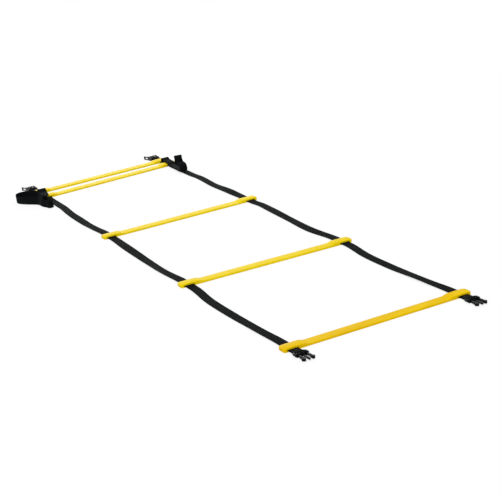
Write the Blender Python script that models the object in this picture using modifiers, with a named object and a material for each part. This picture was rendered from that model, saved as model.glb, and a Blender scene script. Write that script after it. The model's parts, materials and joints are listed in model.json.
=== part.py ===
"""Agility ladder: five flat rungs on two webbing straps, with buckle halves at the strap ends.

Three bays lie spread on the floor. The webbing of the fourth bay is gathered in loops at the
ends of the two far rungs. X runs along the rungs, +Y from the front rung to the far end, +Z up.
The origin is on the floor under the middle of the front rung. All sizes are in metres.
"""
import math

import bmesh
import bpy
from mathutils import Matrix, Vector

# Rungs
RUNG_LENGTH = 0.440
RUNG_WIDTH = 0.0265
RUNG_THICKNESS = 0.005
RUNG_EDGE_ROUND = 0.0012
RUNG_CORNER_ROUND = 0.0045
SADDLE_LENGTH = 0.058
SADDLE_RISE = 0.004
SADDLE_RAMP = 0.016
SADDLE_END_DROP = 0.0016
SADDLE_END_SLOPE = 0.009

# Webbing
STRAP_INSET = 0.020
WEBBING_WIDTH = 0.022
WEBBING_THICKNESS = 0.0016
SEAT_GAP = 0.0003
FLOOR_GAP = 0.0004
TUNNEL_FLOOR = 0.0012
TUNNEL_HEADROOM = 0.0010
TUNNEL_SIDE_ROOM = 0.0014

# Places of the rungs along the ladder, and how far each is turned on the straps
BAY_1_LENGTH = 0.490
BAY_2_LENGTH = 0.495
BAY_3_LENGTH = 0.525
GATHERED_PITCH = 0.0605
RUNG_TURNS_DEG = (0.0, -1.6, 0.0, 3.4, 2.1)

# Folding: each bay rises in the middle, on hinge lines near the rungs and halfway. The third
# rung's webbing stays put, and the bays on either side of it are drawn in towards it.
FOLD_REACH = 0.030
GATHERED_REACH = 0.150
FOLD_GAP = 0.0003

# Waves of the webbing in the spread bays
STRAP_BOW = 0.008
STRAP_LIFT = 0.004
WAVE_STEP = 0.015
SETTLE_SHARES = (0.18, 0.82)

# Buckle halves
BAR_RADIUS = 0.0013
BAR_REACH = 0.040
SLOT_SIDE_ROOM = 0.0008
SLOT_OPENING = 0.0052
RAIL_WIDTH = 0.0034
RAIL_HEIGHT = 0.0048
RAIL_BEHIND_BAR = 0.0022
LOOP_END_CLEARANCE = 0.006
LOOP_STEP_RADIUS = 0.010
BUCKLE_EDGE_ROUND = 0.0007
COLLAR_LENGTH = 0.0075
COLLAR_HEIGHT = 0.0078
COLLAR_INSET = 0.0010
TONGUE_LENGTH = 0.0285
TONGUE_WIDTH = 0.0050
TONGUE_HEIGHT = 0.0032
PRONG_LENGTH = 0.0265
PRONG_WIDTH = 0.0030
PRONG_HEIGHT = 0.0052
PRONG_INSET = 0.0018
PRONG_BOW = 0.0014
PRONG_HEAD_WIDTH = 0.0060
PRONG_HEAD_LENGTH = 0.0085
PRONG_ROOT_GAP = 0.0003
SOCKET_LENGTH = 0.0300
SOCKET_HEIGHT = 0.0106
SOCKET_WALL = 0.0017
WINDOW_LENGTH = 0.0130
WINDOW_FROM_MOUTH = 0.0080
SOCKET_EDGE_ROUND = 0.0008
CUT_OVERRUN = 0.002
FAR_END_TURN_DEG = 15.0

# Gathered webbing beside the far rungs
PAIR_SPACING = 0.0026
TURN_BACK_RUN = 0.0035
TURN_UP_RUN = 0.016
TURN_UP_RADIUS = 0.030
OVER_RUNG_RUN = 0.034
TWIST_RUN = 0.042
LEFT_SKEW_DEG = -6.0
LEFT_STRAIGHTEN_RADIUS = 0.060
LEFT_STRAIGHTEN_DEG = 12.0
LEFT_FORWARD_RUN = 0.040
LEFT_OUTER_RADIUS = 0.0118
LEFT_INNER_RADIUS = 0.0049
LEFT_ARCH_HEIGHT = 0.0152
RIGHT_SKEW_DEG = -1.6
RIGHT_SLOPE_RADIUS = 0.016
RIGHT_SLOPE_DEG = 24.0
RIGHT_SLOPE_RUN = 0.004
RIGHT_FORWARD_RUN = 0.092
RIGHT_CORNER_RADIUS = 0.0095
RIGHT_BACK_RUN = 0.018
RIGHT_RISE_RADIUS = 0.008
RIGHT_RISE_DEG = 82.0
RIGHT_UPRIGHT_RUN = 0.008
RIGHT_END_RADIUS = 0.0068
RIGHT_ARCH_HEIGHT = 0.0152
OPENING_SHARE = 0.7
ROUTE_STEP = 0.008
BEND_STEP_DEG = 30.0
ARCH_PEAK_SHARE = 0.42
ARCH_RISE_SHARE = 0.75
ARCH_DROP_SHARE = 0.95

# The open loop of the left gathered webbing, seen from above: shares of its reach outside the
# strap, of its run beside the middle of rung 4 (negative is in front), and of its lift
LEFT_LOOP_REACH = 0.084
LEFT_LOOP_RUN = 0.092
LEFT_LOOP_LIFT = 0.0068
LEFT_LOOP_SHARES = (
    (0.494, -1.0, 0.0), (0.518, -0.772, 0.0), (0.619, -0.565, 0.0), (0.786, -0.326, 0.0),
    (0.940, -0.087, 0.06), (1.0, 0.098, 0.15), (0.952, 0.261, 0.26), (0.821, 0.337, 0.41),
    (0.667, 0.293, 0.62), (0.488, 0.152, 0.88), (0.357, 0.022, 1.0), (0.312, -0.152, 0.94),
    (0.312, -0.348, 0.59),
)

# Shares of the two wave sizes along each spread bay, from its far rung to its near rung:
# place along the bay, sideways bow, lift, and roll of the webbing in degrees
WAVE_SHARES = {
    ("left", 1): ((0.25, 0.95, 0.1, 0.0), (0.5, 0.9, 0.0, 0.0), (0.75, 0.6, 0.1, -4.0)),
    ("left", 2): ((0.25, 0.5, 0.1, 8.0), (0.5, 0.6, 0.0, 0.0), (0.75, 0.85, 0.1, -6.0)),
    ("left", 3): ((0.25, 0.7, 0.1, 0.0), (0.5, 0.9, 0.0, 4.0), (0.75, 0.75, 0.1, -3.0)),
    ("right", 1): ((0.25, -1.2, 0.1, 0.0), (0.5, -1.2, 0.0, 0.0), (0.75, -0.8, 0.1, -7.0)),
    ("right", 2): ((0.1, 0.5, 0.0, 0.0), (0.25, 0.1, 0.1, 3.0), (0.5, -0.4, 0.0, 0.0),
                   (0.75, -1.1, 0.1, 5.0)),
    ("right", 3): ((0.16, 0.35, 0.0, 0.0), (0.45, -0.3, 0.0, 0.0), (0.76, -0.3, 0.3, 8.0)),
}

# Sizes that follow from the ones above
SIDES = {"left": -1.0, "right": 1.0}
SPREAD_BAYS = (1, 2, 3)
POINTS = {"front": -1.0, "far": 1.0}
STRAP_X = RUNG_LENGTH / 2.0 - STRAP_INSET
SADDLE_TOP = RUNG_THICKNESS + SADDLE_RISE
WEBBING_Z = TUNNEL_FLOOR + SEAT_GAP + WEBBING_THICKNESS / 2.0
WEBBING_TOP = WEBBING_Z + WEBBING_THICKNESS / 2.0
TUNNEL_HEIGHT = SEAT_GAP + WEBBING_THICKNESS + TUNNEL_HEADROOM
FLOOR_Z = FLOOR_GAP + WEBBING_THICKNESS / 2.0
RUNG_Y = (0.0,
          BAY_1_LENGTH,
          BAY_1_LENGTH + BAY_2_LENGTH,
          BAY_1_LENGTH + BAY_2_LENGTH + BAY_3_LENGTH,
          BAY_1_LENGTH + BAY_2_LENGTH + BAY_3_LENGTH + GATHERED_PITCH)
WRAP_RADIUS = BAR_RADIUS + SEAT_GAP + WEBBING_THICKNESS / 2.0
BAR_Z = WEBBING_Z + WRAP_RADIUS
SLOT_HALF_WIDTH = WEBBING_WIDTH / 2.0 + SLOT_SIDE_ROOM
BUCKLE_HALF_WIDTH = SLOT_HALF_WIDTH + RAIL_WIDTH
SLOT_END = BAR_RADIUS + SLOT_OPENING
COLLAR_END = SLOT_END + COLLAR_LENGTH
GUIDE_Z = SADDLE_TOP + SEAT_GAP + WEBBING_THICKNESS / 2.0 + PAIR_SPACING / 2.0

YELLOW = ("yellow_rung_plastic", (0.86, 0.58, 0.02), 0.38)
WEBBING = ("black_webbing", (0.020, 0.023, 0.025), 0.85)
BUCKLE = ("black_buckle_plastic", (0.012, 0.012, 0.013), 0.35)


def clear_scene():
    """Empty the scene of what it opened with."""
    for thing in list(bpy.data.objects):
        bpy.data.objects.remove(thing, do_unlink=True)


def new_collection(name):
    """A collection under the scene's own."""
    group = bpy.data.collections.new(name)
    bpy.context.scene.collection.children.link(group)
    return group


def plastic(recipe):
    """A Principled material of one colour and roughness."""
    name, colour, roughness = recipe
    if name in bpy.data.materials:
        return bpy.data.materials[name]
    made = bpy.data.materials.new(name)
    made.use_nodes = True
    shader = made.node_tree.nodes["Principled BSDF"]
    shader.inputs["Base Color"].default_value = (*colour, 1.0)
    shader.inputs["Roughness"].default_value = roughness
    made.diffuse_color = (*colour, 1.0)
    return made


def add_object(name, shape, recipe, group):
    """Link a bmesh to the scene as one named object, its faces turned outwards."""
    bmesh.ops.recalc_face_normals(shape, faces=shape.faces)
    mesh = bpy.data.meshes.new(name)
    shape.to_mesh(mesh)
    shape.free()
    mesh.materials.append(plastic(recipe))
    made = bpy.data.objects.new(name, mesh)
    group.objects.link(made)
    return made


def cutter(name, shape, recipe):
    """A helper shape for a Boolean, kept out of the model."""
    made = add_object(name, shape, recipe, CUTTERS)
    made.hide_render = True
    made.display_type = "WIRE"
    return made


def block(low, high):
    """A box between two corners."""
    low = Vector(low)
    high = Vector(high)
    shape = bmesh.new()
    size = high - low
    place = Matrix.Translation((low + high) / 2.0) @ Matrix.Diagonal((*size, 1.0))
    bmesh.ops.create_cube(shape, size=1.0, matrix=place)
    return shape


def rod_along_x(radius, length, place, sides):
    """A round rod along X."""
    shape = bmesh.new()
    turn = Matrix.Rotation(math.radians(90.0), 4, "Y")
    bmesh.ops.create_cone(shape, cap_ends=True, segments=sides, radius1=radius, radius2=radius,
                          depth=length, matrix=Matrix.Translation(Vector(place)) @ turn)
    return shape


def prism(outline, direction):
    """A closed outline pushed along a direction."""
    shape = bmesh.new()
    corners = [shape.verts.new(point) for point in outline]
    face = shape.faces.new(corners)
    grown = bmesh.ops.extrude_face_region(shape, geom=[face])
    moved = [item for item in grown["geom"] if isinstance(item, bmesh.types.BMVert)]
    bmesh.ops.translate(shape, verts=moved, vec=Vector(direction))
    return shape


def boolean(target, tool, operation):
    """Join or cut with the exact solver."""
    change = target.modifiers.new(operation.lower() + "_" + tool.name, "BOOLEAN")
    change.operation = operation
    change.object = tool
    change.solver = "EXACT"


def soften(target, width, segments):
    """Round the sharp edges."""
    change = target.modifiers.new("rounded_edges", "BEVEL")
    change.width = width
    change.segments = segments
    change.limit_method = "ANGLE"
    change.angle_limit = math.radians(35.0)


def turned_in_plan(target, centre_y, degrees):
    """Stand a piece in its rung's place, turned about an upright line through its middle."""
    middle = Vector((0.0, centre_y, 0.0))
    turn = Matrix.Rotation(math.radians(degrees), 4, "Z")
    target.matrix_world = Matrix.Translation(middle) @ turn


def turn_about(pivot, degrees):
    """The turn in plan about an upright line through a point."""
    spin = Matrix.Rotation(math.radians(degrees), 4, "Z")
    return Matrix.Translation(pivot) @ spin @ Matrix.Translation(-pivot)


def rung_outline():
    """The rung seen from the front, with a raised saddle at each end."""
    end = RUNG_LENGTH / 2.0
    slope = end - SADDLE_END_SLOPE
    crest = end - SADDLE_LENGTH + SADDLE_RAMP
    foot = end - SADDLE_LENGTH
    right = [(foot, RUNG_THICKNESS), (crest, SADDLE_TOP), (slope, SADDLE_TOP),
             (end, SADDLE_TOP - SADDLE_END_DROP), (end, 0.0)]
    left = [(-x, z) for x, z in reversed(right)]
    back = -RUNG_WIDTH / 2.0
    return [Vector((x, back, z)) for x, z in left + right]


def round_plan_corners(shape):
    """Round the four upright corners at the ends of the rung."""
    end = RUNG_LENGTH / 2.0
    upright = []
    for edge in shape.edges:
        first, second = (vert.co for vert in edge.verts)
        is_upright = abs(first.z - second.z) > SADDLE_RISE and abs(first.x - second.x) < SEAT_GAP
        if is_upright and abs(first.x) > end - SEAT_GAP:
            upright.append(edge)
    bmesh.ops.bevel(shape, geom=upright, offset=RUNG_CORNER_ROUND, segments=3,
                    affect="EDGES", profile=0.5)


def make_rung(number):
    """One flat moulded rung with a tunnel through each saddle for the webbing."""
    shape = prism(rung_outline(), (0.0, RUNG_WIDTH, 0.0))
    round_plan_corners(shape)
    rung = add_object(f"rung_{number}", shape, YELLOW, LADDER)
    soften(rung, RUNG_EDGE_ROUND, 2)
    half_width = WEBBING_WIDTH / 2.0 + TUNNEL_SIDE_ROOM
    reach = RUNG_WIDTH / 2.0 + CUT_OVERRUN
    for side, sign in SIDES.items():
        centre = sign * STRAP_X
        low = (centre - half_width, -reach, TUNNEL_FLOOR)
        high = (centre + half_width, reach, TUNNEL_FLOOR + TUNNEL_HEIGHT)
        tunnel = cutter(f"tunnel_{side}_{number}", block(low, high), YELLOW)
        turned_in_plan(tunnel, RUNG_Y[number - 1], RUNG_TURNS_DEG[number - 1])
        boolean(rung, tunnel, "DIFFERENCE")
    turned_in_plan(rung, RUNG_Y[number - 1], RUNG_TURNS_DEG[number - 1])
    return rung


class Route:
    """A strap's centre line, laid out as webbing moves: it runs, bends and twists."""

    def __init__(self, place, ahead, across):
        self.stations = []
        self.place = Vector(place)
        self.ahead = Vector(ahead).normalized()
        self.across = Vector(across).normalized()
        self.mark()

    def face(self):
        """The direction that the webbing's flat face looks in."""
        return self.across.cross(self.ahead)

    def mark(self):
        """Note a station where the route now is."""
        self.stations.append((self.place.copy(), self.ahead.copy(), self.across.copy()))

    def run(self, length, twist_deg=0.0):
        """Go straight on, turning the webbing about its own line if asked."""
        steps = max(1, round(length / ROUTE_STEP))
        for _ in range(steps):
            self.place = self.place + self.ahead * (length / steps)
            turn = Matrix.Rotation(math.radians(twist_deg / steps), 3, self.ahead)
            self.across = turn @ self.across
            self.mark()

    def bend(self, radius, degrees, skew_deg=0.0):
        """Curve over the flat face; a positive angle curves towards it, and a skew turns it aside."""
        steps = max(1, round(abs(degrees) / BEND_STEP_DEG))
        part = math.radians(degrees / steps)
        skew = math.radians(skew_deg)
        axis = self.across * math.cos(skew) + self.ahead * math.sin(skew)
        drift = axis * (radius * abs(part) * math.tan(skew))
        turn = Matrix.Rotation(part, 3, axis)
        for _ in range(steps):
            outward = axis.cross(self.ahead).normalized() * math.copysign(radius, part)
            centre = self.place + outward
            self.place = centre - turn @ outward + drift
            self.ahead = turn @ self.ahead
            self.across = turn @ self.across
            self.mark()

    def step_over(self, drop, radius):
        """Shift sideways by a double curve; a positive shift goes towards the face."""
        angle = math.degrees(math.acos(1.0 - abs(drop) / (2.0 * radius)))
        sign = math.copysign(1.0, drop)
        self.bend(radius, sign * angle)
        self.bend(radius, -sign * angle)


def ribbon(name, stations, hinge):
    """Webbing of rectangular section along a list of stations, its origin on its hinge line."""
    shape = bmesh.new()
    rings = []
    for place, ahead, across in stations:
        side = across * (WEBBING_WIDTH / 2.0)
        face = across.cross(ahead).normalized() * (WEBBING_THICKNESS / 2.0)
        corners = (place - side - face, place + side - face, place + side + face, place - side + face)
        rings.append([shape.verts.new(corner) for corner in corners])
    for ring, following in zip(rings, rings[1:]):
        for index in range(4):
            after = (index + 1) % 4
            shape.faces.new((ring[index], ring[after], following[after], following[index]))
    shape.faces.new(list(reversed(rings[0])))
    shape.faces.new(rings[-1])
    bmesh.ops.triangulate(shape, faces=shape.faces, quad_method="SHORT_EDGE")
    bmesh.ops.translate(shape, verts=shape.verts, vec=-Vector(hinge))
    made = add_object(name, shape, WEBBING, LADDER)
    made.location = hinge
    return made


def smooth_value(places, share):
    """A value on a smooth curve through (share, value) pairs, level at both ends."""
    for (start, first), (end, second) in zip(places, places[1:]):
        if share <= end:
            part = (share - start) / (end - start)
            eased = part * part * (3.0 - 2.0 * part)
            return first + (second - first) * eased
    return places[-1][1]


def flowing_value(places, share):
    """A value on a flowing curve through (share, value) pairs, level at both ends."""
    last = len(places) - 1
    for index in range(last):
        (start, first), (end, second) = places[index], places[index + 1]
        if share <= end:
            break
    part = (share - start) / (end - start)
    leaving = arriving = 0.0
    if index > 0:
        before = places[index - 1]
        leaving = (second - before[1]) / (end - before[0]) * (end - start)
    if index + 1 < last:
        after = places[index + 2]
        arriving = (after[1] - first) / (after[0] - start) * (end - start)
    return hermite(first, second, leaving, arriving, part)


def hermite(first, second, leaving, arriving, part):
    """A cubic from one value to the next with the slopes given at its ends."""
    return (first * (2 * part**3 - 3 * part**2 + 1) + leaving * (part**3 - 2 * part**2 + part)
            + second * (3 * part**2 - 2 * part**3) + arriving * (part**3 - part**2))


def bay_ends(bay):
    """The fold lines at the far and near ends of a spread bay. The last bay stops at the loops."""
    reach = GATHERED_REACH if bay == SPREAD_BAYS[-1] else FOLD_REACH
    return RUNG_Y[bay] - reach, RUNG_Y[bay - 1] + FOLD_REACH


def wave_station(side, bay, share):
    """Centre and across direction of the webbing at a share of a spread bay."""
    sign = SIDES[side]
    rows = WAVE_SHARES[side, bay]
    curves = []
    for column in (1, 2, 3):
        places = [(0.0, 0.0)] + [(row[0], row[column]) for row in rows] + [(1.0, 0.0)]
        curves.append(flowing_value(places, share))
    bow, lift, roll = curves
    lift = max(0.0, lift)
    settled, rising = SETTLE_SHARES
    at_far_rung = 0.0 if bay == SPREAD_BAYS[-1] else 1.0
    settle = smooth_value([(0.0, at_far_rung), (settled, 0.0), (rising, 0.0), (1.0, 1.0)], share)
    tilt = math.radians(roll)
    height = FLOOR_Z + settle * (WEBBING_Z - FLOOR_Z) + lift * STRAP_LIFT
    height += abs(math.sin(tilt)) * WEBBING_WIDTH / 2.0
    far, near = bay_ends(bay)
    place = Vector((sign * (STRAP_X + bow * STRAP_BOW), far + (near - far) * share, height))
    return place, Vector((math.cos(tilt), 0.0, math.sin(tilt)))


def fold_line(side, y, height):
    """A point on one of the lines that the webbing folds about."""
    return (SIDES[side] * STRAP_X, y, height)


def make_spread_half(side, bay, half):
    """Half of the webbing of a spread bay, between two hinge lines of the fold."""
    far, near = bay_ends(bay)
    length = far - near
    trim = FOLD_GAP / 2.0 / length
    start, end = (trim, 0.5 - trim) if half == "far" else (0.5 + trim, 1.0 - trim)
    steps = max(2, round(length / 2.0 / WAVE_STEP))
    stations = []
    for step in range(steps + 1):
        share = start + (end - start) * step / steps
        place, across = wave_station(side, bay, share)
        stations.append((place, Vector((0.0, -1.0, 0.0)), across))
    return ribbon(f"webbing_{side}_bay_{bay}_{half}", stations, half_hinge(side, bay, half))


def half_hinge(side, bay, half):
    """The line that half a bay's webbing folds about, at its end towards the third rung."""
    far, near = bay_ends(bay)
    inner, line = ("near", near) if bay == SPREAD_BAYS[-1] else ("far", far)
    if half == inner:
        return fold_line(side, line, WEBBING_TOP)
    return fold_line(side, (far + near) / 2.0, FLOOR_GAP)


def make_crossing(side, number):
    """The flat stretch of webbing inside a rung that lies between two spread bays."""
    reach = FOLD_REACH - FOLD_GAP / 2.0
    start = (SIDES[side] * STRAP_X, RUNG_Y[number - 1] + reach, WEBBING_Z)
    route = Route(start, (0.0, -1.0, 0.0), (-1.0, 0.0, 0.0))
    route.run(2.0 * reach)
    hinge = fold_line(side, RUNG_Y[number - 1] + FOLD_REACH, WEBBING_TOP)
    return ribbon(f"webbing_{side}_at_rung_{number}", [route.stations[0], route.stations[-1]], hinge)


def bar_y(side, end):
    """Where the webbing wraps a buckle's bar: in front of the first rung or behind the last."""
    return -BAR_REACH if end == "front" else crossing_y(side, len(RUNG_Y)) + BAR_REACH


def far_end_turn(side):
    """The slant in plan of the webbing and buckle behind the last rung."""
    last = len(RUNG_Y)
    pivot = Vector((SIDES[side] * STRAP_X, crossing_y(side, last) + tunnel_reach(last), 0.0))
    return turn_about(pivot, FAR_END_TURN_DEG)


def wrap_the_bar(route, run_to_bar):
    """Carry a route round the buckle's bar and back to its sewn end."""
    route.run(run_to_bar)
    route.bend(WRAP_RADIUS, 180.0)
    drop = 2.0 * WRAP_RADIUS - WEBBING_THICKNESS - SEAT_GAP
    route.step_over(drop, LOOP_STEP_RADIUS)
    sewn = BAR_REACH - RUNG_WIDTH / 2.0 - LOOP_END_CLEARANCE
    angle = math.acos(1.0 - drop / (2.0 * LOOP_STEP_RADIUS))
    route.run(sewn - 2.0 * LOOP_STEP_RADIUS * math.sin(angle))


def make_front_end(side):
    """Webbing through the front rung and round the bar of its buckle."""
    reach = FOLD_REACH - FOLD_GAP / 2.0
    start = (SIDES[side] * STRAP_X, RUNG_Y[0] + reach, WEBBING_Z)
    route = Route(start, (0.0, -1.0, 0.0), (-1.0, 0.0, 0.0))
    wrap_the_bar(route, reach + BAR_REACH)
    hinge = fold_line(side, RUNG_Y[0] + FOLD_REACH, WEBBING_TOP)
    return ribbon(f"webbing_{side}_front_end", route.stations, hinge)


def make_far_end(side):
    """Webbing behind the last rung, slanting off round the bar of its buckle."""
    middle = crossing_y(side, len(RUNG_Y))
    start = Vector((SIDES[side] * STRAP_X, middle + FOLD_GAP / 2.0, WEBBING_Z))
    route = Route(start, (0.0, 1.0, 0.0), (1.0, 0.0, 0.0))
    wrap_the_bar(route, BAR_REACH - FOLD_GAP / 2.0)
    slant = far_end_turn(side)
    leaves = middle + tunnel_reach(len(RUNG_Y))
    stations = [route.stations[0]]
    for place, ahead, across in route.stations:
        if place.y > leaves:
            stations.append((slant @ place, slant.to_3x3() @ ahead, slant.to_3x3() @ across))
    return ribbon(f"webbing_{side}_far_end", stations, start)


def crossing_y(side, number):
    """Where a strap passes under a rung that may be turned in plan."""
    turn = math.radians(RUNG_TURNS_DEG[number - 1])
    return RUNG_Y[number - 1] + SIDES[side] * STRAP_X * math.sin(turn)


def tunnel_reach(number):
    """Half of the rung's width measured along the strap, with its turn."""
    turn = math.radians(RUNG_TURNS_DEG[number - 1])
    sweep = (WEBBING_WIDTH / 2.0) * abs(math.sin(turn))
    return RUNG_WIDTH / 2.0 / math.cos(turn) + sweep


def left_guide(start):
    """Middle line of the folded pair of layers on the left: over the rung and up on edge."""
    route = Route(*start)
    route.run(OVER_RUNG_RUN)
    route.run(TWIST_RUN, 90.0)
    return route.stations


def right_guide(start):
    """Middle line of the folded pair of layers on the right: forward, back over itself, then up."""
    route = Route(*start)
    route.run(OVER_RUNG_RUN)
    route.bend(RIGHT_SLOPE_RADIUS, RIGHT_SLOPE_DEG)
    route.run(RIGHT_SLOPE_RUN)
    route.bend(RIGHT_SLOPE_RADIUS, -RIGHT_SLOPE_DEG)
    route.run(RIGHT_FORWARD_RUN)
    route.bend(RIGHT_CORNER_RADIUS, -180.0)
    route.run(RIGHT_BACK_RUN)
    route.bend(RIGHT_RISE_RADIUS, RIGHT_RISE_DEG)
    route.run(RIGHT_UPRIGHT_RUN)
    return route.stations


def two_layers(guide, spreading):
    """The layers on either side of a guide line, the second one running back along it."""
    lower = []
    upper = []
    last = len(guide) - 1
    for index, (place, ahead, across) in enumerate(guide):
        offset = across.cross(ahead) * smooth_value(spreading, index / last)
        lower.append((place + offset, ahead, across))
        upper.append((place - offset, -ahead, across))
    return lower, list(reversed(upper))


def right_pair(start):
    """Two layers joined at their end by a standing bight."""
    guide = right_guide(start)
    spreading = [(0.0, PAIR_SPACING / 2.0), (OPENING_SHARE, PAIR_SPACING / 2.0),
                 (1.0, RIGHT_END_RADIUS)]
    lower, upper = two_layers(guide, spreading)
    place, ahead, across = guide[-1]
    face = across.cross(ahead)
    turn = []
    steps = round(180.0 / BEND_STEP_DEG)
    for step in range(1, steps):
        angle = math.pi * step / steps
        outward = face * math.cos(angle) + ahead * math.sin(angle)
        onward = ahead * math.cos(angle) - face * math.sin(angle)
        turn.append((place + outward * RIGHT_END_RADIUS, onward, across))
    return lower + turn + upper


def left_pair(start):
    """Two layers that turn back on edge, one further on than the other, joined by an open loop."""
    even = [(0.0, PAIR_SPACING / 2.0), (1.0, PAIR_SPACING / 2.0)]
    lower, upper = two_layers(left_guide(start), even)
    outer = Route(*lower[-1])
    outer.bend(LEFT_STRAIGHTEN_RADIUS, LEFT_STRAIGHTEN_DEG)
    outer.run(LEFT_FORWARD_RUN)
    outer.bend(LEFT_OUTER_RADIUS, -180.0)
    place, ahead, across = upper[0]
    inner = Route(place, -ahead, across)
    inner.bend(LEFT_INNER_RADIUS, -180.0)
    loop = [left_loop_point(shares) for shares in LEFT_LOOP_SHARES]
    points = [outer.stations[-1][0]] + loop + [inner.stations[-1][0]]
    flow = flowing_line(points, outer.stations[-1][1], -inner.stations[-1][1])
    back = [(place, -ahead, across) for place, ahead, across in reversed(inner.stations)]
    return lower + outer.stations[1:] + flow[1:-1] + back[:-1] + upper


def left_loop_point(shares):
    """A point of the open loop's middle line."""
    outside, behind, above = shares
    rest = FLOOR_GAP + WEBBING_WIDTH / 2.0
    return Vector((-STRAP_X - outside * LEFT_LOOP_REACH,
                   crossing_y("left", 4) + behind * LEFT_LOOP_RUN,
                   rest + above * LEFT_LOOP_LIFT))


def flowing_line(points, leaving, arriving):
    """Stations on edge along a flowing line through points, with its end directions given."""
    stations = []
    last = len(points) - 1
    slopes = [leaving * (points[1] - points[0]).length]
    for index in range(1, last):
        slopes.append((points[index + 1] - points[index - 1]) / 2.0)
    slopes.append(arriving * (points[last] - points[last - 1]).length)
    for index in range(last):
        steps = max(1, round((points[index + 1] - points[index]).length / ROUTE_STEP))
        for step in range(steps):
            part = step / steps
            ends = (points[index], points[index + 1], slopes[index], slopes[index + 1])
            stations.append(station_on_edge(ends, part))
    stations.append(station_on_edge(ends, 1.0))
    return stations


def station_on_edge(ends, part):
    """A station on a cubic between two points, the webbing standing on its edge."""
    first, second, leaving, arriving = ends
    place = hermite(first, second, leaving, arriving, part)
    ahead = (first * (6 * part**2 - 6 * part) + leaving * (3 * part**2 - 4 * part + 1)
             + second * (6 * part - 6 * part**2) + arriving * (3 * part**2 - 2 * part)).normalized()
    across = Vector((0.0, 0.0, 1.0))
    return place, ahead, (across - ahead * across.dot(ahead)).normalized()


def arch_down(start, end, height):
    """Webbing that rises from one station over an arch and drops to another."""
    gap = (end[0] - start[0]).length
    peak = start[0].lerp(end[0], ARCH_PEAK_SHARE)
    peak.z = height
    level = Vector((0.0, gap, 0.0))
    spans = ((start[0], peak, start[1] * gap * ARCH_RISE_SHARE, level * ARCH_RISE_SHARE),
             (peak, end[0], level * ARCH_DROP_SHARE, end[1] * gap * ARCH_DROP_SHARE))
    stations = []
    steps = 6
    for span, (first, second, leaving, arriving) in enumerate(spans):
        for step in range(1, steps + 1):
            t = step / steps
            place = hermite(first, second, leaving, arriving, t)
            slope = (first * (6 * t**2 - 6 * t) + leaving * (3 * t**2 - 4 * t + 1)
                     + second * (6 * t - 6 * t**2) + arriving * (3 * t**2 - 2 * t)).normalized()
            across = start[2].lerp(end[2], (span + t) / 2.0)
            across = (across - slope * across.dot(slope)).normalized()
            stations.append((place, slope, across))
    return stations


def least_self_gap(stations):
    """The smallest gap between two stretches of one ribbon that are apart along it."""
    samples = []
    travelled = 0.0
    previous = stations[0][0]
    for place, _, across in stations:
        travelled += (place - previous).length
        previous = place
        for share in (-1.0, -0.5, 0.0, 0.5, 1.0):
            samples.append((travelled, place + across * (WEBBING_WIDTH / 2.0 * share)))
    least = math.inf
    for index, (first_at, first) in enumerate(samples):
        for second_at, second in samples[index + 1:]:
            if second_at - first_at > 2.0 * ROUTE_STEP:
                least = min(least, (first - second).length)
    return least - WEBBING_THICKNESS


def make_gathered(side):
    """One unbroken ribbon: through rung 4, folded in loops beside it, and into rung 5."""
    centre = SIDES[side] * STRAP_X
    front = bay_ends(SPREAD_BAYS[-1])[0] + FOLD_GAP / 2.0
    rear = crossing_y(side, 4) + tunnel_reach(4)
    rise = WEBBING_Z - FLOOR_Z
    route = Route((centre, front, FLOOR_Z), (0.0, 1.0, 0.0), (1.0, 0.0, 0.0))
    to_rung = crossing_y(side, 4) - tunnel_reach(4) - TURN_BACK_RUN - front
    route.run(to_rung - TURN_UP_RUN)
    route.step_over(rise, TURN_UP_RADIUS)
    route.run(rear + TURN_BACK_RUN - route.place.y)
    turn_radius = (GUIDE_Z - PAIR_SPACING / 2.0 - WEBBING_Z) / 2.0
    route.bend(turn_radius, 180.0, LEFT_SKEW_DEG if side == "left" else RIGHT_SKEW_DEG)
    place, ahead, across = route.stations[-1]
    start = (place - across.cross(ahead) * (PAIR_SPACING / 2.0), ahead, across)
    pair = left_pair(start) if side == "left" else right_pair(start)
    arch = LEFT_ARCH_HEIGHT if side == "left" else RIGHT_ARCH_HEIGHT
    level = (Vector((0.0, 1.0, 0.0)), Vector((1.0, 0.0, 0.0)))
    middle = crossing_y(side, 5)
    entry = (Vector((centre, middle - tunnel_reach(5), WEBBING_Z)), *level)
    last = (Vector((centre, middle - FOLD_GAP / 2.0, WEBBING_Z)), *level)
    stations = route.stations[:-1] + pair + arch_down(pair[-1], entry, arch) + [last]
    length = sum((b[0] - a[0]).length for a, b in zip(stations, stations[1:]))
    print(f"webbing_{side}_gathered: length {length:.4f} m,"
          f" least gap to itself {least_self_gap(stations) * 1000.0:.2f} mm")
    fold = fold_line(side, bay_ends(SPREAD_BAYS[-1])[0], FLOOR_GAP + WEBBING_THICKNESS)
    return ribbon(f"webbing_{side}_gathered", stations, fold)


def buckle_place(side, end):
    """Where a buckle's bar lies. Behind the last rung it slants with its webbing."""
    place = Matrix.Translation((SIDES[side] * STRAP_X, bar_y(side, end), BAR_Z))
    return far_end_turn(side) @ place if end == "far" else place


def buckle_block(end, half_width, start, finish, low, high):
    """A box given by its reach outwards from the bar and its heights from the bar's middle."""
    near, far = sorted((start * POINTS[end], finish * POINTS[end]))
    return block((-half_width, near, low), (half_width, far, high))


def add_bar(target, side, end):
    """The round bar that the webbing wraps, let into the rail on each side of the slot."""
    rod = rod_along_x(BAR_RADIUS, 2.0 * SLOT_HALF_WIDTH + RAIL_WIDTH, (0.0, 0.0, 0.0), 12)
    boolean(target, cutter(f"bar_{side}_{end}", rod, BUCKLE), "UNION")


def place_buckle(body, place):
    """Stand a buckle and its helper shapes in their place."""
    body.matrix_world = place
    for change in body.modifiers:
        if change.type == "BOOLEAN":
            change.object.matrix_world = place


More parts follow.
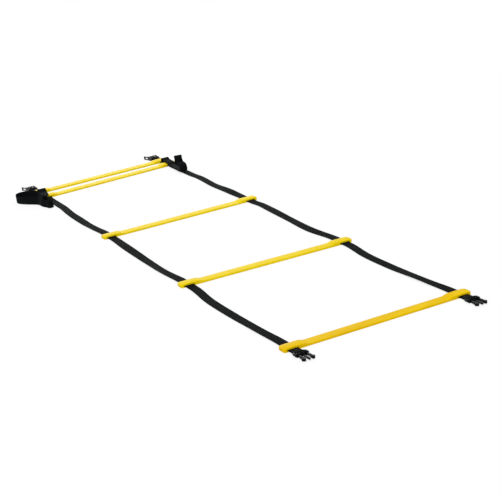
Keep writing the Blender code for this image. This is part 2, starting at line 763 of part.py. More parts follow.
def make_male_body(side):
    """Collar, rails, bar and middle tongue of the half with the prongs."""
    frame = buckle_block("front", BUCKLE_HALF_WIDTH, -RAIL_BEHIND_BAR, COLLAR_END,
                         -RAIL_HEIGHT / 2.0, RAIL_HEIGHT / 2.0)
    body = add_object(f"male_buckle_{side}_body", frame, BUCKLE, LADDER)
    soften(body, BUCKLE_EDGE_ROUND, 1)
    slot = buckle_block("front", SLOT_HALF_WIDTH, -RAIL_BEHIND_BAR - CUT_OVERRUN, SLOT_END,
                        -RAIL_HEIGHT, RAIL_HEIGHT)
    boolean(body, cutter(f"slot_{side}_front", slot, BUCKLE), "DIFFERENCE")
    add_bar(body, side, "front")
    collar = cutter(f"collar_{side}",
                    buckle_block("front", BUCKLE_HALF_WIDTH - RAIL_WIDTH / 2.0,
                                 SLOT_END + COLLAR_INSET, COLLAR_END - COLLAR_INSET,
                                 -COLLAR_HEIGHT / 2.0, COLLAR_HEIGHT / 2.0), BUCKLE)
    soften(collar, BUCKLE_EDGE_ROUND, 1)
    boolean(body, collar, "UNION")
    boolean(body, cutter(f"tongue_{side}", tongue_shape(), BUCKLE), "UNION")
    place_buckle(body, buckle_place(side, "front"))
    return body


def tongue_shape():
    """The middle tongue that guides the buckle into its socket, narrowed at the tip."""
    wide = TONGUE_WIDTH / 2.0
    root = COLLAR_END - COLLAR_LENGTH / 2.0
    shoulder = COLLAR_END + TONGUE_LENGTH - TONGUE_WIDTH
    tip = COLLAR_END + TONGUE_LENGTH
    outline = [Vector((x, y * POINTS["front"], -TONGUE_HEIGHT / 2.0)) for x, y in
               ((-wide, root), (-wide, shoulder), (-wide / 2.0, tip),
                (wide / 2.0, tip), (wide, shoulder), (wide, root))]
    return prism(outline, (0.0, 0.0, TONGUE_HEIGHT))


def prong_outline():
    """A prong seen from above: a bowed spring arm with a rounded hook at its tip."""
    neck = PRONG_LENGTH - PRONG_HEAD_LENGTH
    bowed = PRONG_BOW
    half = PRONG_WIDTH / 2.0
    return ((-half, 0.0), (half, 0.0), (half + bowed, neck / 2.0), (half + bowed, neck),
            (PRONG_HEAD_WIDTH - half + bowed, neck + half),
            (PRONG_HEAD_WIDTH - half, PRONG_LENGTH - PRONG_WIDTH),
            (half, PRONG_LENGTH), (-half, PRONG_LENGTH - half), (-half - bowed / 2.0, neck),
            (-half + bowed / 2.0, neck / 2.0))


def make_prong(side, hand):
    """One spring arm of the front buckle, standing in its own place with its origin at its root."""
    outward = SIDES[hand]
    low = -PRONG_HEIGHT / 2.0
    outline = [Vector((outward * x, POINTS["front"] * y, low)) for x, y in prong_outline()]
    prong = add_object(f"male_buckle_{side}_prong_{hand}", prism(outline, (0.0, 0.0, PRONG_HEIGHT)),
                       BUCKLE, LADDER)
    soften(prong, BUCKLE_EDGE_ROUND, 1)
    root = COLLAR_END + PRONG_ROOT_GAP
    off_centre = BUCKLE_HALF_WIDTH - RAIL_WIDTH - PRONG_INSET - PRONG_WIDTH / 2.0
    shift = Matrix.Translation((outward * off_centre, POINTS["front"] * root, 0.0))
    prong.matrix_world = buckle_place(side, "front") @ shift
    return prong


def make_socket(side):
    """The hollow half that takes the prongs, open at its mouth and at both side windows."""
    low = FLOOR_GAP - BAR_Z
    high = low + SOCKET_HEIGHT
    mouth = SLOT_END + SOCKET_LENGTH
    body = add_object(f"female_buckle_{side}",
                      buckle_block("far", BUCKLE_HALF_WIDTH, -RAIL_BEHIND_BAR, mouth, low, high),
                      BUCKLE, LADDER)
    soften(body, SOCKET_EDGE_ROUND, 2)
    slot = buckle_block("far", SLOT_HALF_WIDTH, -RAIL_BEHIND_BAR - CUT_OVERRUN, SLOT_END,
                        -SOCKET_HEIGHT, SOCKET_HEIGHT)
    boolean(body, cutter(f"slot_{side}_far", slot, BUCKLE), "DIFFERENCE")
    add_bar(body, side, "far")
    hollow = buckle_block("far", BUCKLE_HALF_WIDTH - SOCKET_WALL, SLOT_END + SOCKET_WALL,
                          mouth + CUT_OVERRUN, low + SOCKET_WALL, high - SOCKET_WALL)
    boolean(body, cutter(f"hollow_{side}", hollow, BUCKLE), "DIFFERENCE")
    window_end = mouth - WINDOW_FROM_MOUTH
    window = buckle_block("far", BUCKLE_HALF_WIDTH + CUT_OVERRUN, window_end - WINDOW_LENGTH,
                          window_end, low + SOCKET_WALL * 2.0, high - SOCKET_WALL * 2.0)
    boolean(body, cutter(f"window_{side}", window, BUCKLE), "DIFFERENCE")
    place_buckle(body, buckle_place(side, "far"))
    return body


def build():
    """Make every piece of the ladder."""
    for number in range(1, len(RUNG_Y) + 1):
        make_rung(number)
    for side in SIDES:
        make_front_end(side)
        for number in (2, 3):
            make_crossing(side, number)
        for bay in SPREAD_BAYS:
            make_spread_half(side, bay, "near")
            make_spread_half(side, bay, "far")
        make_gathered(side)
        make_far_end(side)
        make_male_body(side)
        for hand in SIDES:
            make_prong(side, hand)
        make_socket(side)


clear_scene()
LADDER = new_collection("agility_ladder")
CUTTERS = new_collection("cutters")
build()
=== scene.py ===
import json
import math

import bpy
from mathutils import Euler, Matrix, Vector

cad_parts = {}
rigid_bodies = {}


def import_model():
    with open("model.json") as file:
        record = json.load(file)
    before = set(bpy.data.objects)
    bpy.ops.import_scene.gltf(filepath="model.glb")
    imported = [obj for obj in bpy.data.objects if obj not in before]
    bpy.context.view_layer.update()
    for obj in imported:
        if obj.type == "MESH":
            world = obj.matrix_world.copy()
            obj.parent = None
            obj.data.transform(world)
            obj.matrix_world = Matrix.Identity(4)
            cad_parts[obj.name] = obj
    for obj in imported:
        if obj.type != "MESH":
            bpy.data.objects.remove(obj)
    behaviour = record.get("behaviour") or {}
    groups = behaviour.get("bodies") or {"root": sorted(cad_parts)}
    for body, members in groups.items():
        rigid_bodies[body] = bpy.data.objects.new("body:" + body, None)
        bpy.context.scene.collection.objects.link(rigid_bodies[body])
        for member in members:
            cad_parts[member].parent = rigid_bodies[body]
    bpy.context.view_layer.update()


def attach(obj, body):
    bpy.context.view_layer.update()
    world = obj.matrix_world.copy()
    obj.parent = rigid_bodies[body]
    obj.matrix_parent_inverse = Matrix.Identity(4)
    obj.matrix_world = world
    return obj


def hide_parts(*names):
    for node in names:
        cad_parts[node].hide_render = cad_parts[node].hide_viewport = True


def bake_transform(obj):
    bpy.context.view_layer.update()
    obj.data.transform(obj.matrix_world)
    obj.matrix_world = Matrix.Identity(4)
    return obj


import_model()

SIDES = {"left": -1.0, "right": 1.0}

# All sizes are in metres. Those of the rungs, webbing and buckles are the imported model's.
RUNG_Y = (0.0, 0.490, 0.985, 1.510, 1.5705)
RUNG_TURNS_DEG = (0.0, -1.6, 0.0, 3.4, 2.1)
RUNG_LENGTH = 0.440
RUNG_WIDTH = 0.0265
RUNG_THICKNESS = 0.005
RUNG_CORNER_ROUND = 0.0045
RUNG_RIM_ROUND = 0.0010
SADDLE_LENGTH = 0.058
SADDLE_RISE = 0.004
SADDLE_RAMP = 0.016
SADDLE_END_SLOPE = 0.009
SADDLE_END_DROP = 0.0016
END_DROP_POWER = 1.6
# The top falls towards the rung's long edges by this much, and by more over the saddles
CROWN_DROP = 0.0004
SADDLE_CROWN_DROP = 0.0008
CROWN_POWER = 2.5

TUNNEL_FLOOR = 0.0012
TUNNEL_HEIGHT = 0.0029
TUNNEL_HALF_WIDTH = 0.0124
# A tunnel's mouths are eased over this depth, and widen by this much at the sides, top and bottom
MOUTH_DEPTH = 0.0011
MOUTH_SIDE, MOUTH_TOP, MOUTH_BOTTOM = 0.0006, 0.0005, 0.0003

STRAP_X = 0.200
WEBBING_WIDTH = 0.022
WEBBING_THICKNESS = 0.0016
SEAT_GAP = 0.0003
FLOOR_GAP = 0.0004
WEBBING_Z = TUNNEL_FLOOR + SEAT_GAP + WEBBING_THICKNESS / 2
FLOOR_Z = FLOOR_GAP + WEBBING_THICKNESS / 2
# From a rung to the fold line of its bay, and the same in front of the gathered end
FOLD_REACH = 0.030
GATHERED_REACH = 0.150

BUCKLE_HALF_WIDTH = 0.0152
SLOT_HALF_WIDTH = 0.0118
SLOT_END = 0.0065
COLLAR_END = 0.0140
RAIL_BEHIND_BAR = 0.0022
FRAME_HALF_HEIGHT = 0.0024
COLLAR_HALF_WIDTH, COLLAR_HALF_HEIGHT = 0.0135, 0.0039
RIB_Y = (0.0091, 0.0114)
RIB_RADIUS, RIB_HALF_LENGTH = 0.0006, 0.0110
TONGUE_END = COLLAR_END + 0.0285
TONGUE_HALF_WIDTH, TONGUE_HALF_HEIGHT = 0.0025, 0.0016
ARM_HALF_HEIGHT = 0.0026
ARM_OFF_CENTRE = 0.0085
SOCKET_HEIGHT = 0.0106
SOCKET_MOUTH = SLOT_END + 0.030
SOCKET_WALL = 0.0017
SOCKET_WAIST = 0.0009
BAR_RADIUS = 0.0013
BAR_HALF_LENGTH = SLOT_HALF_WIDTH + 0.0017
BAR_REACH = 0.040
WRAP_RADIUS = BAR_RADIUS + SEAT_GAP + WEBBING_THICKNESS / 2
BAR_Z = WEBBING_Z + WRAP_RADIUS
FAR_END_TURN_DEG = 15.0
FAR_END_TURN_LENGTH = 0.010

# A strap is split at these shares of a bay, and settles into its rungs over the outer shares
SPLIT_FAR, SPLIT_NEAR = 0.25, 0.75
SETTLE_SHARE = 0.18
# How far one unit of bow moves a strap sideways, and one unit of lift raises it
STRAP_BOW = 0.008
STRAP_LIFT = 0.004
# How each spread bay's webbing waves: share of the bay, sideways bow, lift, roll in degrees
WAVES = {
    ("left", 1): ((0.25, 0.95, 0.1, 0.0), (0.5, 0.9, 0.0, 0.0), (0.75, 0.6, 0.1, -4.0)),
    ("left", 2): ((0.25, 0.5, 0.1, 8.0), (0.5, 0.6, 0.0, 0.0), (0.75, 0.85, 0.1, -6.0)),
    ("left", 3): ((0.25, 0.7, 0.1, 0.0), (0.5, 0.9, 0.0, 4.0), (0.75, 0.75, 0.1, -3.0)),
    ("right", 1): ((0.25, -1.2, 0.1, 0.0), (0.5, -1.2, 0.0, 0.0), (0.75, -0.8, 0.1, -7.0)),
    ("right", 2): ((0.1, 0.5, 0.0, 0.0), (0.25, 0.1, 0.1, 3.0), (0.5, -0.4, 0.0, 0.0),
                   (0.75, -1.1, 0.1, 5.0)),
    ("right", 3): ((0.16, 0.35, 0.0, 0.0), (0.45, -0.3, 0.0, 0.0), (0.76, -0.3, 0.3, 8.0)),
}

# Distances between the stations of a route, and the turn between two of them in a bend
ROUTE_STEP = 0.0025
FINE_STEP = 0.0015
FLAT_STEP = 0.003
WAVE_STEP = 0.004
BEND_STEP_DEG = 10.0

# The gathered webbing is doubled: each layer lies this far from the middle between them
LAYER_OFFSET = 0.0013
# It turns aside a little as it goes over rung 4, and arches this high down to rung 5
OVER_RUNG_SKEW_DEG = {"left": -6.0, "right": -1.6}
ARCH_HEIGHT = {"left": 0.0188, "right": 0.0168}
# Its way beyond rung 4: runs with their length and twist, bends with their radius and angle
LEFT_FOLDS = (("run", 0.034, 0.0), ("run", 0.042, 90.0))
LEFT_OUTER_FOLDS = (("bend", 0.060, 12.0), ("run", 0.0440, 0.0), ("bend", 0.0078, -180.0))
LEFT_INNER_FOLDS = (("bend", 0.0049, -180.0),)
RIGHT_FOLDS = (
    ("run", 0.034, 0.0), ("bend", 0.016, 24.0), ("run", 0.004, 0.0), ("bend", 0.016, -24.0),
    ("run", 0.088, 0.0), ("bend", 0.0095, -180.0), ("run", 0.019, 0.0), ("bend", 0.0072, 82.0),
    ("run", 0.0095, -27.0),
)
# The right layers part over the last share of their way, to join in a bight of this radius
RIGHT_PARTING = 0.3
BIGHT_RADIUS = 0.0062
BIGHT_STEPS = 18
# The left layers join in an open loop, given as shares of its reach, run and lift
LOOP_SIZE = (0.084, 0.092, 0.0068)
LOOP_SHARES = (
    (0.494, -1.0, 0.22), (0.518, -0.772, 0.32), (0.619, -0.565, 0.25), (0.786, -0.326, 0.1),
    (0.940, -0.087, 0.06), (1.0, 0.098, 0.15), (0.952, 0.261, 0.26), (0.821, 0.337, 0.38),
    (0.667, 0.293, 0.5), (0.488, 0.152, 0.7), (0.357, 0.022, 0.85), (0.312, -0.152, 0.8),
    (0.312, -0.348, 0.5),
)

# Bar tacks: their distances from the buckle's bar, and their stitches
TACK_ROWS = (0.0133, 0.0181)
STITCHES_IN_ROW = 15
STITCH_PITCH = 0.00118
STITCH_LEAN_DEG = 22
STITCH_HALF_SIZE = (0.00125, 0.00026, 0.00030)

# The camera's place and turn
CAMERA_PLACE = (-1.2889, -2.2948, 1.0522)
CAMERA_TURN_DEG = (71.5532, 7.1805, -26.5845)


# Materials

def shade(hex_code):
    """A colour written as sRGB hex, turned linear."""
    values = []
    for start in (1, 3, 5):
        part = int(hex_code[start:start + 2], 16) / 255
        values.append(part / 12.92 if part <= 0.04045 else ((part + 0.055) / 1.055) ** 2.4)
    return (*values, 1.0)


def feed(tree, node, inputs):
    """Give each socket of a node its own value, or link what feeds it.

    A node that feeds a socket stands for its first output."""
    for socket, value in inputs.items():
        if isinstance(value, bpy.types.Node):
            value = value.outputs[0]
        if isinstance(value, bpy.types.NodeSocket):
            tree.links.new(value, node.inputs[socket])
        else:
            node.inputs[socket].default_value = value


def add_node(tree, kind, inputs, stops=(), **settings):
    """Add a node with its settings, the stops of a colour ramp, and what its sockets take."""
    node = tree.nodes.new(f"ShaderNode{kind}")
    for field, value in settings.items():
        setattr(node, field, value)
    while stops and len(node.color_ramp.elements) < len(stops):
        node.color_ramp.elements.new(0.5)
    for index, (place, colour) in enumerate(stops):
        node.color_ramp.elements[index].position = place
        node.color_ramp.elements[index].color = shade(colour)
    feed(tree, node, inputs)
    return node


def new_finish(name):
    """A material, with its tree of nodes, its Principled shader and the place on the object."""
    material = bpy.data.materials.new(name)
    material.use_nodes = True
    tree = material.node_tree
    place = add_node(tree, "TexCoord", {}).outputs["Object"]
    return material, tree, tree.nodes["Principled BSDF"], place


def moulded_yellow():
    """Injection-moulded polypropylene: even warm yellow, satin, with a fine spark-eroded grain."""
    material, tree, shader, place = new_finish("moulded_yellow_polypropylene")
    # The melt's flow leaves soft clouds, some 60 mm long and 20 mm wide along the rung
    along = add_node(tree, "Mapping", {"Vector": place, "Scale": (0.35, 1.0, 1.0)})
    cloud = add_node(tree, "TexNoise",
                     {"Vector": along, "Scale": 45.0, "Detail": 3.0, "Roughness": 0.5})
    # The front rung is a deeper, more orange yellow than the others, which are lighter and more
    # lemon
    deep = add_node(tree, "ValToRGB", {"Fac": cloud},
                    stops=((0.30, "#EBBE00"), (0.55, "#F0C602"), (0.75, "#F4CE08")))
    lemon = add_node(tree, "ValToRGB", {"Fac": cloud},
                     stops=((0.30, "#EED006"), (0.55, "#F3D60C"), (0.75, "#F7DD18")))
    behind = add_node(tree, "SeparateXYZ", {"Vector": place}).outputs["Y"]
    front_to_back = add_node(tree, "MapRange", {"Value": behind, "From Min": 0.1, "From Max": 0.4})
    tint = add_node(tree, "Mix", {"Factor": front_to_back, "A": deep, "B": lemon},
                    data_type="RGBA").outputs["Result"]
    # Rubbing on hard floors leaves pale hair scuffs about 1 mm wide, mostly along the rung
    scuffed = add_node(tree, "Mapping",
                       {"Vector": place, "Scale": (0.10, 1.0, 1.0), "Rotation": (0, 0, 0.15)})
    scuff = add_node(tree, "TexNoise",
                     {"Vector": scuffed, "Scale": 900.0, "Detail": 2.0, "Roughness": 0.6})
    mark = add_node(tree, "ValToRGB", {"Fac": scuff}, stops=((0.64, "#000000"), (0.74, "#FFFFFF")))
    share = add_node(tree, "Math", {0: mark, 1: 0.10}, operation="MULTIPLY")
    colour = add_node(tree, "Mix", {"Factor": share, "A": tint, "B": shade("#F9DE78")},
                      data_type="RGBA").outputs["Result"]
    rough = add_node(tree, "MapRange", {"Value": cloud, "To Min": 0.36, "To Max": 0.50})
    rougher = add_node(tree, "Math", {0: mark, 1: 0.12, 2: rough}, operation="MULTIPLY_ADD")
    # The mould's grain is about 0.35 mm across
    grain = add_node(tree, "TexNoise", {"Vector": place, "Scale": 2800.0, "Detail": 2.0})
    relief = add_node(tree, "Bump", {"Height": grain, "Strength": 0.12, "Distance": 0.00008})
    feed(tree, shader, {"Base Color": colour, "Roughness": rougher, "Normal": relief,
                        "IOR": 1.49, "Specular IOR Level": 0.03})
    return material


def woven_webbing():
    """Woven polypropylene webbing, charcoal: herringbone picks between warp ribs, dull with a nap.

    The real ribs are about 1 mm apart. They are drawn 1.8 mm apart so that they show."""
    material, tree, shader, place = new_finish("woven_charcoal_webbing")
    chart = add_node(tree, "TexCoord", {}).outputs["UV"]
    threads = add_node(tree, "Mapping", {"Vector": chart, "Scale": (1 / 0.0018, 1 / 0.0013, 1.0)})
    split = add_node(tree, "SeparateXYZ", {"Vector": threads})
    columns, picks = split.outputs["X"], split.outputs["Y"]
    zigzag = add_node(tree, "Math", {0: columns, 1: 1.0}, operation="PINGPONG")
    slant = add_node(tree, "Math", {0: zigzag, 1: 0.9, 2: picks}, operation="MULTIPLY_ADD")
    turns = add_node(tree, "Math", {0: slant, 1: 2 * math.pi}, operation="MULTIPLY")
    thread = add_node(tree, "Math", {0: turns}, operation="SINE")
    lifted = add_node(tree, "Math", {0: thread, 1: 0.275, 2: 0.725}, operation="MULTIPLY_ADD")
    between = add_node(tree, "Math", {0: columns, 1: 0.5}, operation="PINGPONG")
    doubled = add_node(tree, "Math", {0: between, 1: 2.0}, operation="MULTIPLY")
    rib = add_node(tree, "Math", {0: doubled, 1: 0.45}, operation="POWER")
    height = add_node(tree, "Math", {0: rib, 1: lifted}, operation="MULTIPLY")
    # Handling leaves paler and darker stretches some 26 mm long, and stray fibres of 0.7 mm
    wear = add_node(tree, "TexNoise",
                    {"Vector": place, "Scale": 38.0, "Detail": 4.0, "Roughness": 0.6})
    fibre = add_node(tree, "TexNoise", {"Vector": place, "Scale": 1500.0, "Detail": 2.0})
    mixed = add_node(tree, "Math", {0: fibre, 1: 0.20}, operation="MULTIPLY")
    # The weave's height also goes into the colour, so the grooves between the threads are darker:
    # painted shade in the weave's recesses
    for source, share in ((wear, 0.46), (height, 0.42)):
        mixed = add_node(tree, "Math", {0: source, 1: share, 2: mixed}, operation="MULTIPLY_ADD")
    tint = add_node(tree, "ValToRGB", {"Fac": mixed}, stops=(
        (0.22, "#020203"), (0.48, "#0A0C0D"), (0.72, "#15191A"), (0.95, "#252A2C")))
    rough = add_node(tree, "MapRange", {"Value": height, "To Min": 0.92, "To Max": 0.74})
    relief = add_node(tree, "Bump", {"Height": height, "Strength": 0.75, "Distance": 0.0003})
    nap = add_node(tree, "Bump",
                   {"Height": fibre, "Normal": relief, "Strength": 0.25, "Distance": 0.00015})
    feed(tree, shader, {"Base Color": tint, "Roughness": rough, "Normal": nap, "IOR": 1.49,
                        "Specular IOR Level": 0.03, "Sheen Weight": 0.01, "Sheen Roughness": 0.5})
    return material


def moulded_black(name, shine):
    """Injection-moulded acetal: near black, smooth and waxy. A polished mould gives more shine."""
    material, tree, shader, place = new_finish(name)
    # The melt leaves clouds of about 6 mm
    cloud = add_node(tree, "TexNoise",
                     {"Vector": place, "Scale": 160.0, "Detail": 4.0, "Roughness": 0.6})
    tint = add_node(tree, "ValToRGB", {"Fac": cloud},
                    stops=((0.35, "#050608"), (0.60, "#0A0C0E"), (0.80, "#121518")))
    rough = add_node(tree, "MapRange", {"Value": cloud, "To Min": 0.14, "To Max": 0.26})
    # Tool marks of about 0.3 mm soften the shine
    grain = add_node(tree, "TexNoise", {"Vector": place, "Scale": 3200.0, "Detail": 2.0})
    relief = add_node(tree, "Bump", {"Height": grain, "Strength": 0.12, "Distance": 0.0001})
    feed(tree, shader, {"Base Color": tint, "Roughness": rough, "Normal": relief,
                        "IOR": 1.48, "Specular IOR Level": shine})
    return material


def twisted_thread():
    """Bonded polyester thread: black, lightly glossy, its plies wound about 1 mm apart."""
    material, tree, shader, place = new_finish("twisted_polyester_thread")
    ply = add_node(tree, "TexWave",
                   {"Vector": place, "Scale": 520.0, "Distortion": 1.5, "Detail": 1.0},
                   bands_direction="DIAGONAL").outputs["Fac"]
    tint = add_node(tree, "ValToRGB", {"Fac": ply}, stops=((0.2, "#0D0F10"), (0.9, "#2B2F31")))
    rough = add_node(tree, "MapRange", {"Value": ply, "To Min": 0.62, "To Max": 0.45})
    relief = add_node(tree, "Bump", {"Height": ply, "Strength": 0.5, "Distance": 0.0001})
    feed(tree, shader, {"Base Color": tint, "Roughness": rough, "Normal": relief})
    return material


YELLOW = moulded_yellow()
WEBBING = woven_webbing()
BLACK = moulded_black("moulded_black_acetal", 0.06)
POLISHED_BLACK = moulded_black("polished_black_acetal", 0.35)
THREAD = twisted_thread()


# Modelling helpers

def clear_selection():
    """Deselect everything, because an operator acts on all that is selected."""
    if bpy.context.object and bpy.context.object.mode != "OBJECT":
        bpy.ops.object.mode_set(mode="OBJECT")
    for thing in bpy.context.view_layer.objects:
        thing.select_set(False)


def take(piece):
    """Select one piece alone and make it the active one."""
    clear_selection()
    bpy.context.view_layer.objects.active = piece
    piece.select_set(True)


def apply_modifiers(piece):
    """Turn every modifier into mesh."""
    take(piece)
    for change in list(piece.modifiers):
        bpy.ops.object.modifier_apply(modifier=change.name)


def soften(piece, width, segments=3, degrees=35.0):
    """Round the sharp edges of a moulding."""
    change = piece.modifiers.new("rounded", "BEVEL")
    change.width = width
    change.segments = segments
    change.limit_method = "ANGLE"
    change.angle_limit = math.radians(degrees)
    change.use_clamp_overlap = True
    apply_modifiers(piece)
    return piece


def combine(piece, tool, operation):
    """Cut a solid with another one, which is used up."""
    change = piece.modifiers.new("combined", "BOOLEAN")
    change.operation = operation
    change.object = tool
    change.solver = "EXACT"
    apply_modifiers(piece)
    bpy.data.objects.remove(tool, do_unlink=True)


def unite(first, *others):
    """Join separate closed shells into the first of them."""
    take(first)
    for other in others:
        other.select_set(True)
    bpy.ops.object.join()
    return first


def finish_piece(piece, name, material, place, degrees):
    """Name a piece, put its place in its mesh, shade it and give it its material."""
    piece.name = name
    piece.data.name = name
    piece.data.transform(place @ piece.matrix_world)
    piece.matrix_world = Matrix.Identity(4)
    piece.data.materials.clear()
    piece.data.materials.append(material)
    take(piece)
    bpy.ops.object.shade_smooth_by_angle(angle=math.radians(degrees))


def copy_of(model):
    """A copy of a model with its own mesh."""
    piece = bpy.data.objects.new("copy", model.data.copy())
    bpy.context.scene.collection.objects.link(piece)
    return piece


def round_corners(corners, steps=5):
    """A plan outline with each corner (x, y, radius) rounded."""
    outline = []
    count = len(corners)
    for index, (x, y, radius) in enumerate(corners):
        here = Vector((x, y))
        before = Vector(corners[index - 1][:2]) - here
        after = Vector(corners[(index + 1) % count][:2]) - here
        if radius <= 0.0:
            outline.append((here.x, here.y))
            continue
        half = before.angle(after) / 2
        reach = min(radius / math.tan(half), before.length * 0.49, after.length * 0.49)
        start = here + before.normalized() * reach
        end = here + after.normalized() * reach
        for step in range(steps + 1):
            share = step / steps
            point = start.lerp(here, share).lerp(here.lerp(end, share), share)
            outline.append((point.x, point.y))
    return outline


def draw_up(height):
    """Draw the flat sheet in hand up to a closed solid with its faces outwards."""
    bpy.ops.object.mode_set(mode="EDIT")
    bpy.ops.mesh.select_all(action="SELECT")
    bpy.ops.mesh.extrude_region_move(TRANSFORM_OT_translate={"value": (0, 0, height)})
    bpy.ops.mesh.select_all(action="SELECT")
    bpy.ops.mesh.normals_make_consistent(inside=False)
    bpy.ops.object.mode_set(mode="OBJECT")


def plate(corners, low, high):
    """A plate cut to an outline with rounded corners, from one height to another."""
    outline = round_corners(corners)
    clear_selection()
    bpy.ops.mesh.primitive_circle_add(vertices=len(outline), radius=1.0, fill_type="NGON")
    made = bpy.context.object
    for vertex, (x, y) in zip(made.data.vertices, outline):
        vertex.co = (x, y, low)
    draw_up(high - low)
    return made


def box(low, high):
    """A box between two corners, as a start or a cutter."""
    clear_selection()
    low, high = Vector(low), Vector(high)
    bpy.ops.mesh.primitive_cube_add(size=1.0)
    made = bpy.context.object
    middle = Matrix.Translation((low + high) / 2)
    made.data.transform(middle @ Matrix.Diagonal((*(high - low), 1.0)))
    return made


def rod(radius, half_length, place=(0, 0, 0), sides=24):
    """A round bar along X."""
    clear_selection()
    bpy.ops.mesh.primitive_cylinder_add(vertices=sides, radius=radius, depth=2 * half_length)
    made = bpy.context.object
    made.data.transform(Matrix.Translation(place) @ Matrix.Rotation(math.radians(90), 4, "Y"))
    return made


def smooth(share):
    """An eased share from 0 to 1."""
    share = min(1.0, max(0.0, share))
    return share * share * (3 - 2 * share)


# Rungs

def rung_top(x, y):
    """Height of the rung's top: thin in the middle, rising over the strap, crowned across."""
    end = RUNG_LENGTH / 2
    rise = smooth((abs(x) - (end - SADDLE_LENGTH)) / SADDLE_RAMP)
    fall = max(0.0, abs(x) - (end - SADDLE_END_SLOPE)) / SADDLE_END_SLOPE
    crown = (CROWN_DROP + SADDLE_CROWN_DROP * rise) * (abs(y) / (RUNG_WIDTH / 2)) ** CROWN_POWER
    return RUNG_THICKNESS + SADDLE_RISE * rise - SADDLE_END_DROP * fall ** END_DROP_POWER - crown


def rung_half_width(x):
    """Half of the rung's width in plan, drawn in at its rounded ends."""
    radius = RUNG_CORNER_ROUND
    into = abs(x) - (RUNG_LENGTH / 2 - radius)
    if into <= 0:
        return RUNG_WIDTH / 2
    return RUNG_WIDTH / 2 - radius + math.sqrt(max(0.0, radius ** 2 - into ** 2))


def rung_columns():
    """Places of the rung's cross sections, closer together over the saddles and at the ends."""
    end = RUNG_LENGTH / 2
    half = [end - RUNG_CORNER_ROUND * (1 - math.sin(math.radians(angle)))
            for angle in range(90, -1, -10)]
    saddle_steps, steps_beyond, middle_steps = 26, 2, 24
    step = (SADDLE_LENGTH - RUNG_CORNER_ROUND) / saddle_steps
    half += [half[-1] - step * index for index in range(1, saddle_steps + steps_beyond + 1)]
    rest = half[-1]
    half += [rest * (1 - index / middle_steps) for index in range(1, middle_steps)]
    return [-x for x in half] + [0.0] + list(reversed(half))


def shape_rung():
    """A flat grid drawn up to a slab, with the rung's top shaped on it and its rim rounded."""
    columns = rung_columns()
    last, rows_across = len(columns) - 1, 14
    clear_selection()
    bpy.ops.mesh.primitive_grid_add(x_subdivisions=last, y_subdivisions=rows_across, size=2.0)
    rung = bpy.context.object
    for vertex in rung.data.vertices:
        x = columns[round((vertex.co.x + 1) / 2 * last)]
        vertex.co = (x, vertex.co.y * rung_half_width(x), 0.0)
    draw_up(RUNG_THICKNESS)
    for vertex in rung.data.vertices:
        if vertex.co.z > RUNG_THICKNESS / 2:
            vertex.co.z = rung_top(vertex.co.x, vertex.co.y)
    return soften(rung, RUNG_RIM_ROUND, degrees=50.0)


def cut_tunnels(rung):
    """The passage for the webbing under each saddle, its mouths eased."""
    half = RUNG_WIDTH / 2
    eased = half - MOUTH_DEPTH
    past = half + 0.002
    top, middle = TUNNEL_FLOOR + TUNNEL_HEIGHT, TUNNEL_FLOOR + TUNNEL_HEIGHT / 2
    for sign in SIDES.values():
        tool = box((-TUNNEL_HALF_WIDTH, -past, TUNNEL_FLOOR), (TUNNEL_HALF_WIDTH, past, top))
        bpy.ops.object.mode_set(mode="EDIT")
        for place in (-eased, eased, -half, half):
            bpy.ops.mesh.select_all(action="SELECT")
            bpy.ops.mesh.bisect(plane_co=(0, place, 0), plane_no=(0, 1, 0))
        bpy.ops.object.mode_set(mode="OBJECT")
        for vertex in tool.data.vertices:
            if abs(vertex.co.y) > (eased + half) / 2:
                vertex.co.x += math.copysign(MOUTH_SIDE, vertex.co.x)
                vertex.co.z += MOUTH_TOP if vertex.co.z > middle else -MOUTH_BOTTOM
        tool.data.transform(Matrix.Translation((sign * STRAP_X, 0, 0)))
        combine(rung, tool, "DIFFERENCE")


def make_rungs():
    """Five rungs from one model, each in its place and turned as it lies."""
    model = shape_rung()
    cut_tunnels(model)
    for number, (y, degrees) in enumerate(zip(RUNG_Y, RUNG_TURNS_DEG), 1):
        rung = copy_of(model)
        place = Matrix.Translation((0, y, 0)) @ Matrix.Rotation(math.radians(degrees), 4, "Z")
        finish_piece(rung, f"moulded_rung_{number}", YELLOW, place, 40.0)
        body = f"rung_{number}" if number <= 3 else "gathered_end"
        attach(rung, body)
        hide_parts(f"rung_{number}")
    bpy.data.objects.remove(model, do_unlink=True)


# Webbing routes

